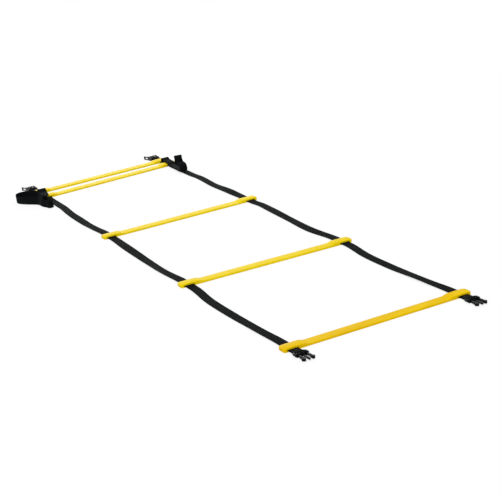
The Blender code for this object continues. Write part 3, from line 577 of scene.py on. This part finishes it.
class Route:
    """A strap's centre line, laid out as webbing moves: it runs, bends and twists."""

    def __init__(self, place, ahead, across, step=ROUTE_STEP):
        self.stations = []
        self.place = Vector(place)
        self.ahead = Vector(ahead).normalized()
        self.across = Vector(across).normalized()
        self.step = step
        self.mark()

    def mark(self):
        """Note a station where the route now is."""
        self.stations.append((self.place.copy(), self.ahead.copy(), self.across.copy()))

    def run(self, length, twist_deg=0.0):
        """Go straight on, turning the webbing about its own line if asked."""
        steps = max(1, round(length / self.step))
        for _ in range(steps):
            self.place = self.place + self.ahead * (length / steps)
            turn = Matrix.Rotation(math.radians(twist_deg / steps), 3, self.ahead)
            self.across = turn @ self.across
            self.mark()

    def bend(self, radius, degrees, skew_deg=0.0):
        """Curve over the flat face; a skew turns the webbing aside as it goes round."""
        steps = max(1, round(abs(degrees) / BEND_STEP_DEG))
        part = math.radians(degrees / steps)
        skew = math.radians(skew_deg)
        axis = self.across * math.cos(skew) + self.ahead * math.sin(skew)
        drift = axis * (radius * abs(part) * math.tan(skew))
        turn = Matrix.Rotation(part, 3, axis)
        for _ in range(steps):
            outward = axis.cross(self.ahead).normalized() * math.copysign(radius, part)
            self.place = self.place + outward - turn @ outward + drift
            self.ahead = turn @ self.ahead
            self.across = turn @ self.across
            self.mark()

    def step_over(self, drop, radius):
        """Shift sideways by a double curve."""
        angle = math.degrees(math.acos(1 - abs(drop) / (2 * radius)))
        sign = math.copysign(1.0, drop)
        self.bend(radius, sign * angle)
        self.bend(radius, -sign * angle)

    def follow(self, folds):
        """Go through a list of runs and bends."""
        for move, size, degrees in folds:
            if move == "run":
                self.run(size, degrees)
            else:
                self.bend(size, degrees)


def hermite(first, second, leaving, arriving, part):
    """A cubic from one value to the next with the slopes given at its ends."""
    return (first * (2 * part**3 - 3 * part**2 + 1) + leaving * (part**3 - 2 * part**2 + part)
            + second * (3 * part**2 - 2 * part**3) + arriving * (part**3 - part**2))


def hermite_slope(first, second, leaving, arriving, part):
    """The direction of that cubic."""
    return (first * (6 * part**2 - 6 * part) + leaving * (3 * part**2 - 4 * part + 1)
            + second * (6 * part - 6 * part**2) + arriving * (3 * part**2 - 2 * part))


def curve_station(ends, share, across):
    """A station on that cubic, the webbing's width held as near to a direction as it can be."""
    ahead = hermite_slope(*ends, share).normalized()
    return hermite(*ends, share), ahead, (across - ahead * across.dot(ahead)).normalized()


def flowing_value(places, share):
    """A value on a flowing curve through (share, value) pairs, level at both ends."""
    last = len(places) - 1
    for index in range(last):
        (start, first), (end, second) = places[index], places[index + 1]
        if share <= end:
            break
    part = (share - start) / (end - start)
    leaving = arriving = 0.0
    if index > 0:
        before = places[index - 1]
        leaving = (second - before[1]) / (end - before[0]) * (end - start)
    if index + 1 < last:
        after = places[index + 2]
        arriving = (after[1] - first) / (after[0] - start) * (end - start)
    return hermite(first, second, leaving, arriving, part)


def bay_ends(bay):
    """The fold lines at the far and near ends of a spread bay."""
    reach = GATHERED_REACH if bay == 3 else FOLD_REACH
    return RUNG_Y[bay] - reach, RUNG_Y[bay - 1] + FOLD_REACH


def wave_station(side, bay, share, heading):
    """A station of the webbing at a share of a spread bay, heading to -Y or +Y."""
    rows = WAVES[side, bay]
    bow, lift, roll = (
        flowing_value([(0.0, 0.0)] + [(row[0], row[column]) for row in rows] + [(1.0, 0.0)], share)
        for column in (1, 2, 3))
    at_far_rung = 0.0 if bay == 3 else 1.0
    if share < 0.5:
        settle = at_far_rung * (1 - smooth(share / SETTLE_SHARE))
    else:
        settle = smooth((share - 1 + SETTLE_SHARE) / SETTLE_SHARE)
    tilt = math.radians(roll)
    height = FLOOR_Z + settle * (WEBBING_Z - FLOOR_Z) + max(0.0, lift) * STRAP_LIFT
    height += abs(math.sin(tilt)) * WEBBING_WIDTH / 2
    far, near = bay_ends(bay)
    place = Vector((SIDES[side] * (STRAP_X + bow * STRAP_BOW), far + (near - far) * share, height))
    across = Vector((math.cos(tilt), 0.0, math.sin(tilt))) * heading
    return place, Vector((0.0, heading, 0.0)), across


def wave_run(side, bay, start, end):
    """Stations along part of a spread bay."""
    far, near = bay_ends(bay)
    count = max(4, round(abs(end - start) * (far - near) / WAVE_STEP))
    heading = -1.0 if end > start else 1.0
    return [wave_station(side, bay, start + (end - start) * index / count, heading)
            for index in range(count + 1)]


def crossing_y(side, number):
    """Where a strap passes under a rung that may be turned in plan."""
    turn = math.radians(RUNG_TURNS_DEG[number - 1])
    return RUNG_Y[number - 1] + SIDES[side] * STRAP_X * math.sin(turn)


def tunnel_reach(number):
    """Half of the rung's width measured along the strap, with its turn."""
    turn = math.radians(RUNG_TURNS_DEG[number - 1])
    return RUNG_WIDTH / 2 / math.cos(turn) + WEBBING_WIDTH / 2 * abs(math.sin(turn))


def level_route(side, y, z, heading, step=ROUTE_STEP):
    """A route that starts flat on a strap's middle line, heading to -Y or +Y."""
    return Route((SIDES[side] * STRAP_X, y, z), (0, heading, 0), (heading, 0, 0), step)


def straight(side, start_y, end_y):
    """Flat webbing inside and beside a rung."""
    route = level_route(side, start_y, WEBBING_Z, math.copysign(1.0, end_y - start_y), FLAT_STEP)
    route.run(abs(end_y - start_y))
    return route.stations


def wrap_the_bar(route, run_to_bar):
    """Carry a route round the buckle's bar and back to its sewn end, short of the rung."""
    route.run(run_to_bar)
    route.bend(WRAP_RADIUS, 180.0)
    drop = 2 * WRAP_RADIUS - WEBBING_THICKNESS - SEAT_GAP
    radius, short_of_rung = 0.010, 0.006
    route.step_over(drop, radius)
    angle = math.acos(1 - drop / (2 * radius))
    route.run(BAR_REACH - RUNG_WIDTH / 2 - short_of_rung - 2 * radius * math.sin(angle))


def far_turn(side, degrees=FAR_END_TURN_DEG):
    """The slant in plan of the webbing and buckle behind the last rung."""
    pivot = Vector((SIDES[side] * STRAP_X, crossing_y(side, 5) + tunnel_reach(5), 0))
    turn = Matrix.Rotation(math.radians(degrees), 4, "Z")
    return Matrix.Translation(pivot) @ turn @ Matrix.Translation(-pivot)


def far_end(side):
    """Webbing through the last rung and, slanting off, round the bar of its buckle."""
    middle = crossing_y(side, 5)
    route = level_route(side, middle, WEBBING_Z, 1, FINE_STEP)
    wrap_the_bar(route, BAR_REACH)
    leaves = middle + tunnel_reach(5)
    stations = []
    for place, ahead, across in route.stations:
        turn = far_turn(side, FAR_END_TURN_DEG * smooth((place.y - leaves) / FAR_END_TURN_LENGTH))
        stations.append((turn @ place, turn.to_3x3() @ ahead, turn.to_3x3() @ across))
    return stations


def two_layers(guide, spread):
    """The layers on either side of a guide line, the second one running back along it."""
    lower, upper = [], []
    last = len(guide) - 1
    for index, (place, ahead, across) in enumerate(guide):
        offset = across.cross(ahead) * spread(index / last)
        lower.append((place + offset, ahead, across))
        upper.append((place - offset, -ahead, across))
    return lower, list(reversed(upper))


def right_pair(start):
    """Two layers over the rung, forward, back over themselves and up, joined by a bight."""
    route = Route(*start)
    route.follow(RIGHT_FOLDS)

    def spread(share):
        """Half of the gap between the layers, which part towards the bight."""
        parting = smooth((share - 1 + RIGHT_PARTING) / RIGHT_PARTING)
        return LAYER_OFFSET + (BIGHT_RADIUS - LAYER_OFFSET) * parting

    lower, upper = two_layers(route.stations, spread)
    place, ahead, across = route.stations[-1]
    face = across.cross(ahead)
    bight = []
    for step in range(1, BIGHT_STEPS):
        angle = math.pi * step / BIGHT_STEPS
        outward = face * math.cos(angle) + ahead * math.sin(angle)
        forward = ahead * math.cos(angle) - face * math.sin(angle)
        bight.append((place + outward * BIGHT_RADIUS, forward, across))
    return lower + bight + upper


def left_pair(start):
    """Two layers over the rung and up on edge, turned back and joined by an open loop."""
    route = Route(*start)
    route.follow(LEFT_FOLDS)
    lower, upper = two_layers(route.stations, lambda share: LAYER_OFFSET)
    outer = Route(*lower[-1])
    outer.follow(LEFT_OUTER_FOLDS)
    place, ahead, across = upper[0]
    inner = Route(place, -ahead, across)
    inner.follow(LEFT_INNER_FOLDS)
    rest = FLOOR_GAP + WEBBING_WIDTH / 2
    reach, run, lift = LOOP_SIZE
    loop = [Vector((-STRAP_X - out * reach, crossing_y("left", 4) + along * run, rest + up * lift))
            for out, along, up in LOOP_SHARES]
    points = [outer.stations[-1][0]] + loop + [inner.stations[-1][0]]
    flow = flowing_line(points, outer.stations[-1][1], -inner.stations[-1][1])
    back = [(place, -ahead, across) for place, ahead, across in reversed(inner.stations)]
    return lower + outer.stations[1:] + flow[1:-1] + back[:-1] + upper


def flowing_line(points, leaving, arriving):
    """Stations on edge along a flowing line through points, with its end directions given."""
    last = len(points) - 1
    slopes = [leaving * (points[1] - points[0]).length]
    slopes += [(points[index + 1] - points[index - 1]) / 2 for index in range(1, last)]
    slopes.append(arriving * (points[last] - points[last - 1]).length)
    upright = Vector((0, 0, 1))
    stations = []
    for index in range(last):
        ends = (points[index], points[index + 1], slopes[index], slopes[index + 1])
        steps = max(2, round((ends[1] - ends[0]).length / ROUTE_STEP))
        stations += [curve_station(ends, step / steps, upright) for step in range(steps)]
    return stations + [curve_station(ends, 1.0, upright)]


def arch_down(start, end, height):
    """Webbing that rises from one station over an arch and drops to another."""
    gap = (end[0] - start[0]).length
    peak_share, rise, fall = 0.52, 0.75, 0.95
    peak = start[0].lerp(end[0], peak_share)
    peak.z = height
    level = Vector((0.0, gap, 0.0))
    spans = ((start[0], peak, start[1] * gap * rise, level * rise),
             (peak, end[0], level * fall, end[1] * gap * fall))
    steps = 16
    return [curve_station(ends, step / steps, start[2].lerp(end[2], (span + step / steps) / 2))
            for span, ends in enumerate(spans) for step in range(1, steps + 1)]


def gathered(side):
    """One ribbon: through rung 4, folded in loops beside it, and into rung 5."""
    # It lies level to 3.5 mm beyond the rung on both sides, and steps up to that within 16 mm
    middle, half = crossing_y(side, 4), tunnel_reach(4) + 0.0035
    front, step_room, step_radius = bay_ends(3)[0], 0.016, 0.030
    route = level_route(side, front, FLOOR_Z, 1)
    route.run(middle - half - front - step_room)
    route.step_over(WEBBING_Z - FLOOR_Z, step_radius)
    route.run(middle + half - route.place.y)
    over_saddle = RUNG_THICKNESS + SADDLE_RISE + SEAT_GAP + WEBBING_THICKNESS / 2
    route.bend((over_saddle - WEBBING_Z) / 2, 180.0, OVER_RUNG_SKEW_DEG[side])
    place, ahead, across = route.stations[-1]
    start = (place - across.cross(ahead) * LAYER_OFFSET, ahead, across)
    pair = left_pair(start) if side == "left" else right_pair(start)
    entry = level_route(side, crossing_y(side, 5) - tunnel_reach(5), WEBBING_Z, 1).stations[0]
    return route.stations[:-1] + pair + arch_down(pair[-1], entry, ARCH_HEIGHT[side])


# Webbing pieces

def strap_section():
    """The webbing's section: flat, with rounded selvedges, as (across, up) pairs."""
    thick = WEBBING_THICKNESS / 2
    flat = WEBBING_WIDTH / 2 - thick
    points = []
    for sign in (1, -1):
        points += [(sign * flat * (2 * index / 8 - 1), -sign * thick) for index in range(9)]
        points += [(sign * (flat + thick * math.sin(math.radians(a))),
                    -sign * thick * math.cos(math.radians(a))) for a in (45, 90, 135)]
    return points


def make_strap(name, stations, *replaced):
    """Webbing along stations: a grid rolled round the section, closed at both ends.

    Its UV map is in metres: round the section, and along the webbing from the Y of its start."""
    section = strap_section()
    rows = len(stations)
    around = len(section)
    clear_selection()
    bpy.ops.mesh.primitive_grid_add(x_subdivisions=around, y_subdivisions=rows - 1, size=2.0)
    strap = bpy.context.object
    place, ahead, _ = stations[0]
    lengths = [place.y]
    for (first, _, _), (second, _, _) in zip(stations, stations[1:]):
        lengths.append(lengths[-1] + ahead.y * (second - first).length)
    arcs = [0.0]
    for index in range(around):
        arcs.append(arcs[-1] + math.dist(section[index], section[(index + 1) % around]))
    cells = [(round((v.co.x + 1) / 2 * around), round((v.co.y + 1) / 2 * (rows - 1)))
             for v in strap.data.vertices]
    chart = strap.data.uv_layers.active
    for loop in strap.data.loops:
        column, row = cells[loop.vertex_index]
        chart.data[loop.index].uv = (arcs[column], lengths[row])
    for vertex, (column, row) in zip(strap.data.vertices, cells):
        place, ahead, across = stations[row]
        side, up = section[column % around]
        vertex.co = place + across * side + across.cross(ahead).normalized() * up
    bpy.ops.object.mode_set(mode="EDIT")
    bpy.ops.mesh.select_all(action="SELECT")
    bpy.ops.mesh.remove_doubles(threshold=1e-6)
    bpy.ops.mesh.fill_holes(sides=0)
    bpy.ops.mesh.select_all(action="SELECT")
    bpy.ops.mesh.normals_make_consistent(inside=False)
    bpy.ops.object.mode_set(mode="OBJECT")
    finish_piece(strap, name, WEBBING, Matrix.Identity(4), 50.0)
    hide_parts(*replaced)
    return strap


def bend_at(strap):
    """Put a strap's place into its mesh."""
    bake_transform(strap)


def make_side(side):
    """All the webbing of one side, split where only one rigid stretch carries it."""
    front = wave_run(side, 1, SPLIT_NEAR, 1.0)
    route = level_route(side, RUNG_Y[0] + FOLD_REACH, WEBBING_Z, -1, FINE_STEP)
    wrap_the_bar(route, FOLD_REACH + BAR_REACH)
    strap = make_strap(f"{side}_strap_front_end", front + route.stations[1:],
                       f"webbing_{side}_front_end")
    bend_at(strap)
    for bay in (1, 2, 3):
        far, near = bay_ends(bay)
        strap = make_strap(f"{side}_strap_bay_{bay}", wave_run(side, bay, SPLIT_FAR, SPLIT_NEAR),
                           f"webbing_{side}_bay_{bay}_far", f"webbing_{side}_bay_{bay}_near")
        bend_at(strap)
        if bay < 3:
            stations = straight(side, RUNG_Y[bay], far)[:-1] + wave_run(side, bay, 0.0, SPLIT_FAR)
            strap = make_strap(f"{side}_strap_before_rung_{bay + 1}", stations,
                               f"webbing_{side}_at_rung_{bay + 1}")
            bend_at(strap)
        if bay > 1:
            stations = wave_run(side, bay, SPLIT_NEAR, 1.0)[:-1]
            stations += straight(side, near, RUNG_Y[bay - 1])
            strap = make_strap(f"{side}_strap_behind_rung_{bay}", stations,
                               f"webbing_{side}_at_rung_{bay}")
            bend_at(strap)
    # One more station, 6 mm short of the last rung's middle, holds the webbing level in its tunnel
    inside = level_route(side, crossing_y(side, 5) - 0.006, WEBBING_Z, 1).stations
    stations = wave_run(side, 3, SPLIT_FAR, 0.0)[:-1] + gathered(side) + inside + far_end(side)
    strap = make_strap(f"{side}_strap_gathered", stations,
                       f"webbing_{side}_gathered", f"webbing_{side}_far_end")
    bend_at(strap)


def make_stitches(side, end):
    """Two bar tacks through the sewn end of a strap's loop, each a row of slanted stitches."""
    top = WEBBING_Z + WEBBING_THICKNESS * 1.5 + SEAT_GAP
    stitches = []
    for row in TACK_ROWS:
        for index in range(STITCHES_IN_ROW):
            clear_selection()
            bpy.ops.mesh.primitive_uv_sphere_add(segments=8, ring_count=5, radius=1.0)
            stitch = bpy.context.object
            lean = -STITCH_LEAN_DEG if index % 2 else STITCH_LEAN_DEG
            slant = Matrix.Rotation(math.radians(90 + lean), 4, "Z")
            x = (index - (STITCHES_IN_ROW - 1) / 2) * STITCH_PITCH
            place = Matrix.Translation((x, BAR_REACH - row, top))
            stitch.data.transform(place @ slant @ Matrix.Diagonal((*STITCH_HALF_SIZE, 1.0)))
            stitches.append(stitch)
    tacks = unite(*stitches)
    turned = Matrix.Rotation(math.pi, 4, "Z") if end == "front" else Matrix.Identity(4)
    place = buckle_place(side, end) @ turned @ Matrix.Translation((0, -BAR_REACH, -BAR_Z))
    finish_piece(tacks, f"{side}_{end}_bar_tacks", THREAD, place, 60.0)
    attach(tacks, "front_end" if end == "front" else "gathered_end")


# Buckle halves

def buckle_place(side, end):
    """Where a buckle's bar lies. Behind the last rung it slants with its webbing."""
    if end == "front":
        return Matrix.Translation((SIDES[side] * STRAP_X, -BAR_REACH, BAR_Z))
    bar_y = crossing_y(side, 5) + BAR_REACH
    return far_turn(side) @ Matrix.Translation((SIDES[side] * STRAP_X, bar_y, BAR_Z))


def male_body():
    """Frame, bar, ribbed collar and middle tongue, pointing along +Y from the bar."""
    wide, slot, back, cut = BUCKLE_HALF_WIDTH, SLOT_HALF_WIDTH, -RAIL_BEHIND_BAR, 0.003
    body = plate((
        (-wide, back, 0.0012), (-slot, back, 0.0010), (-slot, SLOT_END, 0.0018),
        (slot, SLOT_END, 0.0018), (slot, back, 0.0010), (wide, back, 0.0012),
        (wide, COLLAR_END - cut, 0.002), (wide - cut, COLLAR_END, 0.002),
        (-wide + cut, COLLAR_END, 0.002), (-wide, COLLAR_END - cut, 0.002)),
        -FRAME_HALF_HEIGHT, FRAME_HALF_HEIGHT)
    soften(body, 0.0010)
    wide, start, end = COLLAR_HALF_WIDTH, SLOT_END + 0.001, COLLAR_END - 0.001
    collar = plate((
        (-wide, start, 0.0014), (wide, start, 0.0014), (wide, end, 0.0014), (-wide, end, 0.0014)),
        -COLLAR_HALF_HEIGHT, COLLAR_HALF_HEIGHT)
    parts = [soften(collar, 0.0012)]
    for y in RIB_Y:
        for z in (-COLLAR_HALF_HEIGHT, COLLAR_HALF_HEIGHT):
            parts.append(rod(RIB_RADIUS, RIB_HALF_LENGTH, (0, y, z), 12))
    wide, shoulder, tip = TONGUE_HALF_WIDTH, TONGUE_END - 0.006, 0.0012
    tongue = plate((
        (-wide, 0.011, 0.0), (wide, 0.011, 0.0), (wide, shoulder, 0.004),
        (tip, TONGUE_END, 0.0009), (-tip, TONGUE_END, 0.0009), (-wide, shoulder, 0.004)),
        -TONGUE_HALF_HEIGHT, TONGUE_HALF_HEIGHT)
    parts += [soften(tongue, 0.0006), rod(BAR_RADIUS, BAR_HALF_LENGTH)]
    return unite(body, *parts)


def prong():
    """One spring arm with its rounded hook, bowed to +X, its root at the origin."""
    arm = plate((
        (-0.0015, 0.0, 0.0004), (0.0019, 0.0, 0.0004), (0.0034, 0.009, 0.008),
        (0.0034, 0.018, 0.003), (0.0063, 0.0195, 0.0012), (0.0053, 0.0235, 0.003),
        (0.0019, 0.0265, 0.0015), (-0.0015, 0.0250, 0.0015), (-0.0022, 0.018, 0.006),
        (-0.0008, 0.009, 0.008)), -ARM_HALF_HEIGHT, ARM_HALF_HEIGHT)
    return soften(arm, 0.0008)


def socket():
    """The hollow half: low behind, full at its mouth, open at both sides, pointing along +Y."""
    low = FLOOR_GAP - BAR_Z
    high = low + SOCKET_HEIGHT
    mouth, wall, past = SOCKET_MOUTH, SOCKET_WALL, 0.010
    wide, narrow, back = BUCKLE_HALF_WIDTH, BUCKLE_HALF_WIDTH - SOCKET_WAIST, -RAIL_BEHIND_BAR
    body = plate((
        (back, low, 0.0012), (mouth, low, 0.0006), (mouth, high, 0.0012), (0.016, high, 0.010),
        (0.0060, high - 0.0030, 0.006), (back, high - 0.0046, 0.0014)), -wide, wide)
    # That was its side view: x, y and height become Y, Z and X
    body.data.transform(Matrix(((0, 0, 1, 0), (1, 0, 0, 0), (0, 1, 0, 0), (0, 0, 0, 1))))
    plan = plate((
        (-wide, -past, 0.0), (-wide, 0.011, 0.004), (-narrow, 0.0155, 0.006),
        (-narrow, 0.0285, 0.006), (-wide, mouth + past, 0.0), (wide, mouth + past, 0.0),
        (narrow, 0.0285, 0.006), (narrow, 0.0155, 0.006), (wide, 0.011, 0.004),
        (wide, -past, 0.0)), low - past, high + past)
    combine(body, plan, "INTERSECT")
    soften(body, 0.0015, 4, 40.0)
    slot = box((-SLOT_HALF_WIDTH, -past, low - past), (SLOT_HALF_WIDTH, SLOT_END, high + past))
    combine(body, slot, "DIFFERENCE")
    hollow = box((-wide + wall, SLOT_END + wall, low + wall),
                 (wide - wall, mouth + 0.004, high - wall))
    combine(body, soften(hollow, 0.0008, 2), "DIFFERENCE")
    guide_x, guide_half, bite = 0.0044, 0.0008, 0.0004
    guides = []
    for sign in SIDES.values():
        guide = box((sign * guide_x - guide_half, SLOT_END + wall - bite, low + wall - bite),
                    (sign * guide_x + guide_half, mouth - 0.0045, high - wall + bite))
        guides.append(soften(guide, 0.0003, 2))
    window = box((-wide - 0.004, mouth - 0.021, low + 2 * wall),
                 (wide + 0.004, mouth - 0.008, high - 2 * wall))
    combine(body, soften(window, 0.0009), "DIFFERENCE")
    return unite(body, rod(BAR_RADIUS, BAR_HALF_LENGTH), *guides)


def place_copy(model, name, material, place, body, node):
    """A copy of a buckle part in its place, riding on its body."""
    part = copy_of(model)
    finish_piece(part, name, material, place, 38.0)
    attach(part, body)
    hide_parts(node)
    return part


def make_buckles():
    """Front halves with their arms, and hollow far halves."""
    front, arm, far = male_body(), prong(), socket()
    facing = Matrix.Rotation(math.pi, 4, "Z")
    for side in SIDES:
        place = buckle_place(side, "front") @ facing
        place_copy(front, f"{side}_arm_half_body", BLACK, place, f"male_buckle_{side}",
                   f"male_buckle_{side}_body")
        for hand, sign in SIDES.items():
            mirror = Matrix.Diagonal((-sign, 1.0, 1.0, 1.0))
            shift = Matrix.Translation((-sign * ARM_OFF_CENTRE, COLLAR_END + SEAT_GAP, 0))
            spring = place_copy(arm, f"{side}_arm_half_{hand}_prong", BLACK, place @ shift @ mirror,
                                f"{side}_buckle_{hand}_prong", f"male_buckle_{side}_prong_{hand}")
            if sign > 0:
                spring.data.flip_normals()
        place_copy(far, f"{side}_socket_half", POLISHED_BLACK, buckle_place(side, "far"),
                   f"female_buckle_{side}", f"female_buckle_{side}")
    for model in (front, arm, far):
        bpy.data.objects.remove(model, do_unlink=True)


# Studio

def background_share(tree):
    """1 where the background is seen directly, in a reflection or through a clear part, else 0."""
    path = add_node(tree, "LightPath", {}).outputs
    mirrored = add_node(tree, "Math", {0: path["Is Glossy Ray"], 1: path["Is Transmission Ray"]},
                        operation="MAXIMUM")
    return add_node(tree, "Math", {0: path["Is Camera Ray"], 1: mirrored}, operation="MAXIMUM")


def paint_floor():
    """Painted studio floor: white to the eye and in reflections, keeping the soft shadow."""
    material, tree, shader, place = new_finish("white_painted_floor")
    grain = add_node(tree, "TexNoise", {"Vector": place, "Scale": 3.0, "Detail": 3.0})
    tint = add_node(tree, "ValToRGB", {"Fac": grain}, stops=((0.3, "#E4E4E4"), (0.7, "#E8E8E8")))
    feed(tree, shader, {"Base Color": tint, "Roughness": 0.9, "Specular IOR Level": 0.0})
    # The rest of what is seen there is lit paint, which shows the shadow
    share = add_node(tree, "Math", {0: background_share(tree), 1: 0.68}, operation="MULTIPLY")
    glow = add_node(tree, "Emission", {"Color": (1, 1, 1, 1), "Strength": 1.12})
    mixed = add_node(tree, "MixShader", {"Fac": share, 1: shader, 2: glow})
    feed(tree, tree.nodes["Material Output"], {"Surface": mixed})
    return material


def make_floor():
    """A wide plain floor just under the ladder."""
    clear_selection()
    bpy.ops.mesh.primitive_plane_add(size=60.0, location=(0, 0, 0))
    floor = bpy.context.object
    floor.name = "studio_floor"
    floor.data.materials.append(paint_floor())


def make_world():
    """Even pale surroundings, white where they are seen directly or in a reflection."""
    world = bpy.data.worlds.new("pale_studio")
    bpy.context.scene.world = world
    world.use_nodes = True
    tree = world.node_tree
    strength = add_node(tree, "MapRange",
                        {"Value": background_share(tree), "To Min": 0.52, "To Max": 1.0})
    feed(tree, tree.nodes["Background"], {"Color": (1, 1, 1, 1), "Strength": strength})


def make_lamp(name, kind, place, target, power, size):
    """A lamp aimed at a point."""
    lamp = bpy.data.lights.new(name, kind)
    lamp.energy = power
    if kind == "SUN":
        lamp.angle = size
    else:
        lamp.shape = "RECTANGLE"
        lamp.size, lamp.size_y = size
    stand = bpy.data.objects.new(name, lamp)
    bpy.context.scene.collection.objects.link(stand)
    stand.location = place
    stand.rotation_euler = (Vector(target) - Vector(place)).to_track_quat("-Z", "Y").to_euler()


def make_camera():
    """The photograph's viewpoint, fitted to its rungs and straps."""
    camera = bpy.data.cameras.new("camera")
    camera.sensor_width = 36.0
    camera.lens = 100.95
    camera.clip_end = 200.0
    stand = bpy.data.objects.new("camera", camera)
    bpy.context.scene.collection.objects.link(stand)
    turn = Euler([math.radians(degrees) for degrees in CAMERA_TURN_DEG])
    stand.matrix_world = Matrix.LocRotScale(CAMERA_PLACE, turn, None)
    bpy.context.scene.camera = stand


make_camera()
make_rungs()
for strap_side in SIDES:
    make_side(strap_side)
    make_stitches(strap_side, "front")
    make_stitches(strap_side, "far")
make_buckles()
make_floor()
make_world()
make_lamp("overhead_softbox", "SUN", place=(-1.1, -0.4, 3.0), target=(0, 0.7, 0),
          power=1.5, size=math.radians(30))
make_lamp("far_softbox", "AREA", place=(0.9, 4.4, 0.78), target=(0, 1.5, 0),
          power=26.0, size=(2.2, 0.95))
bpy.context.scene.view_settings.view_transform = "Standard"
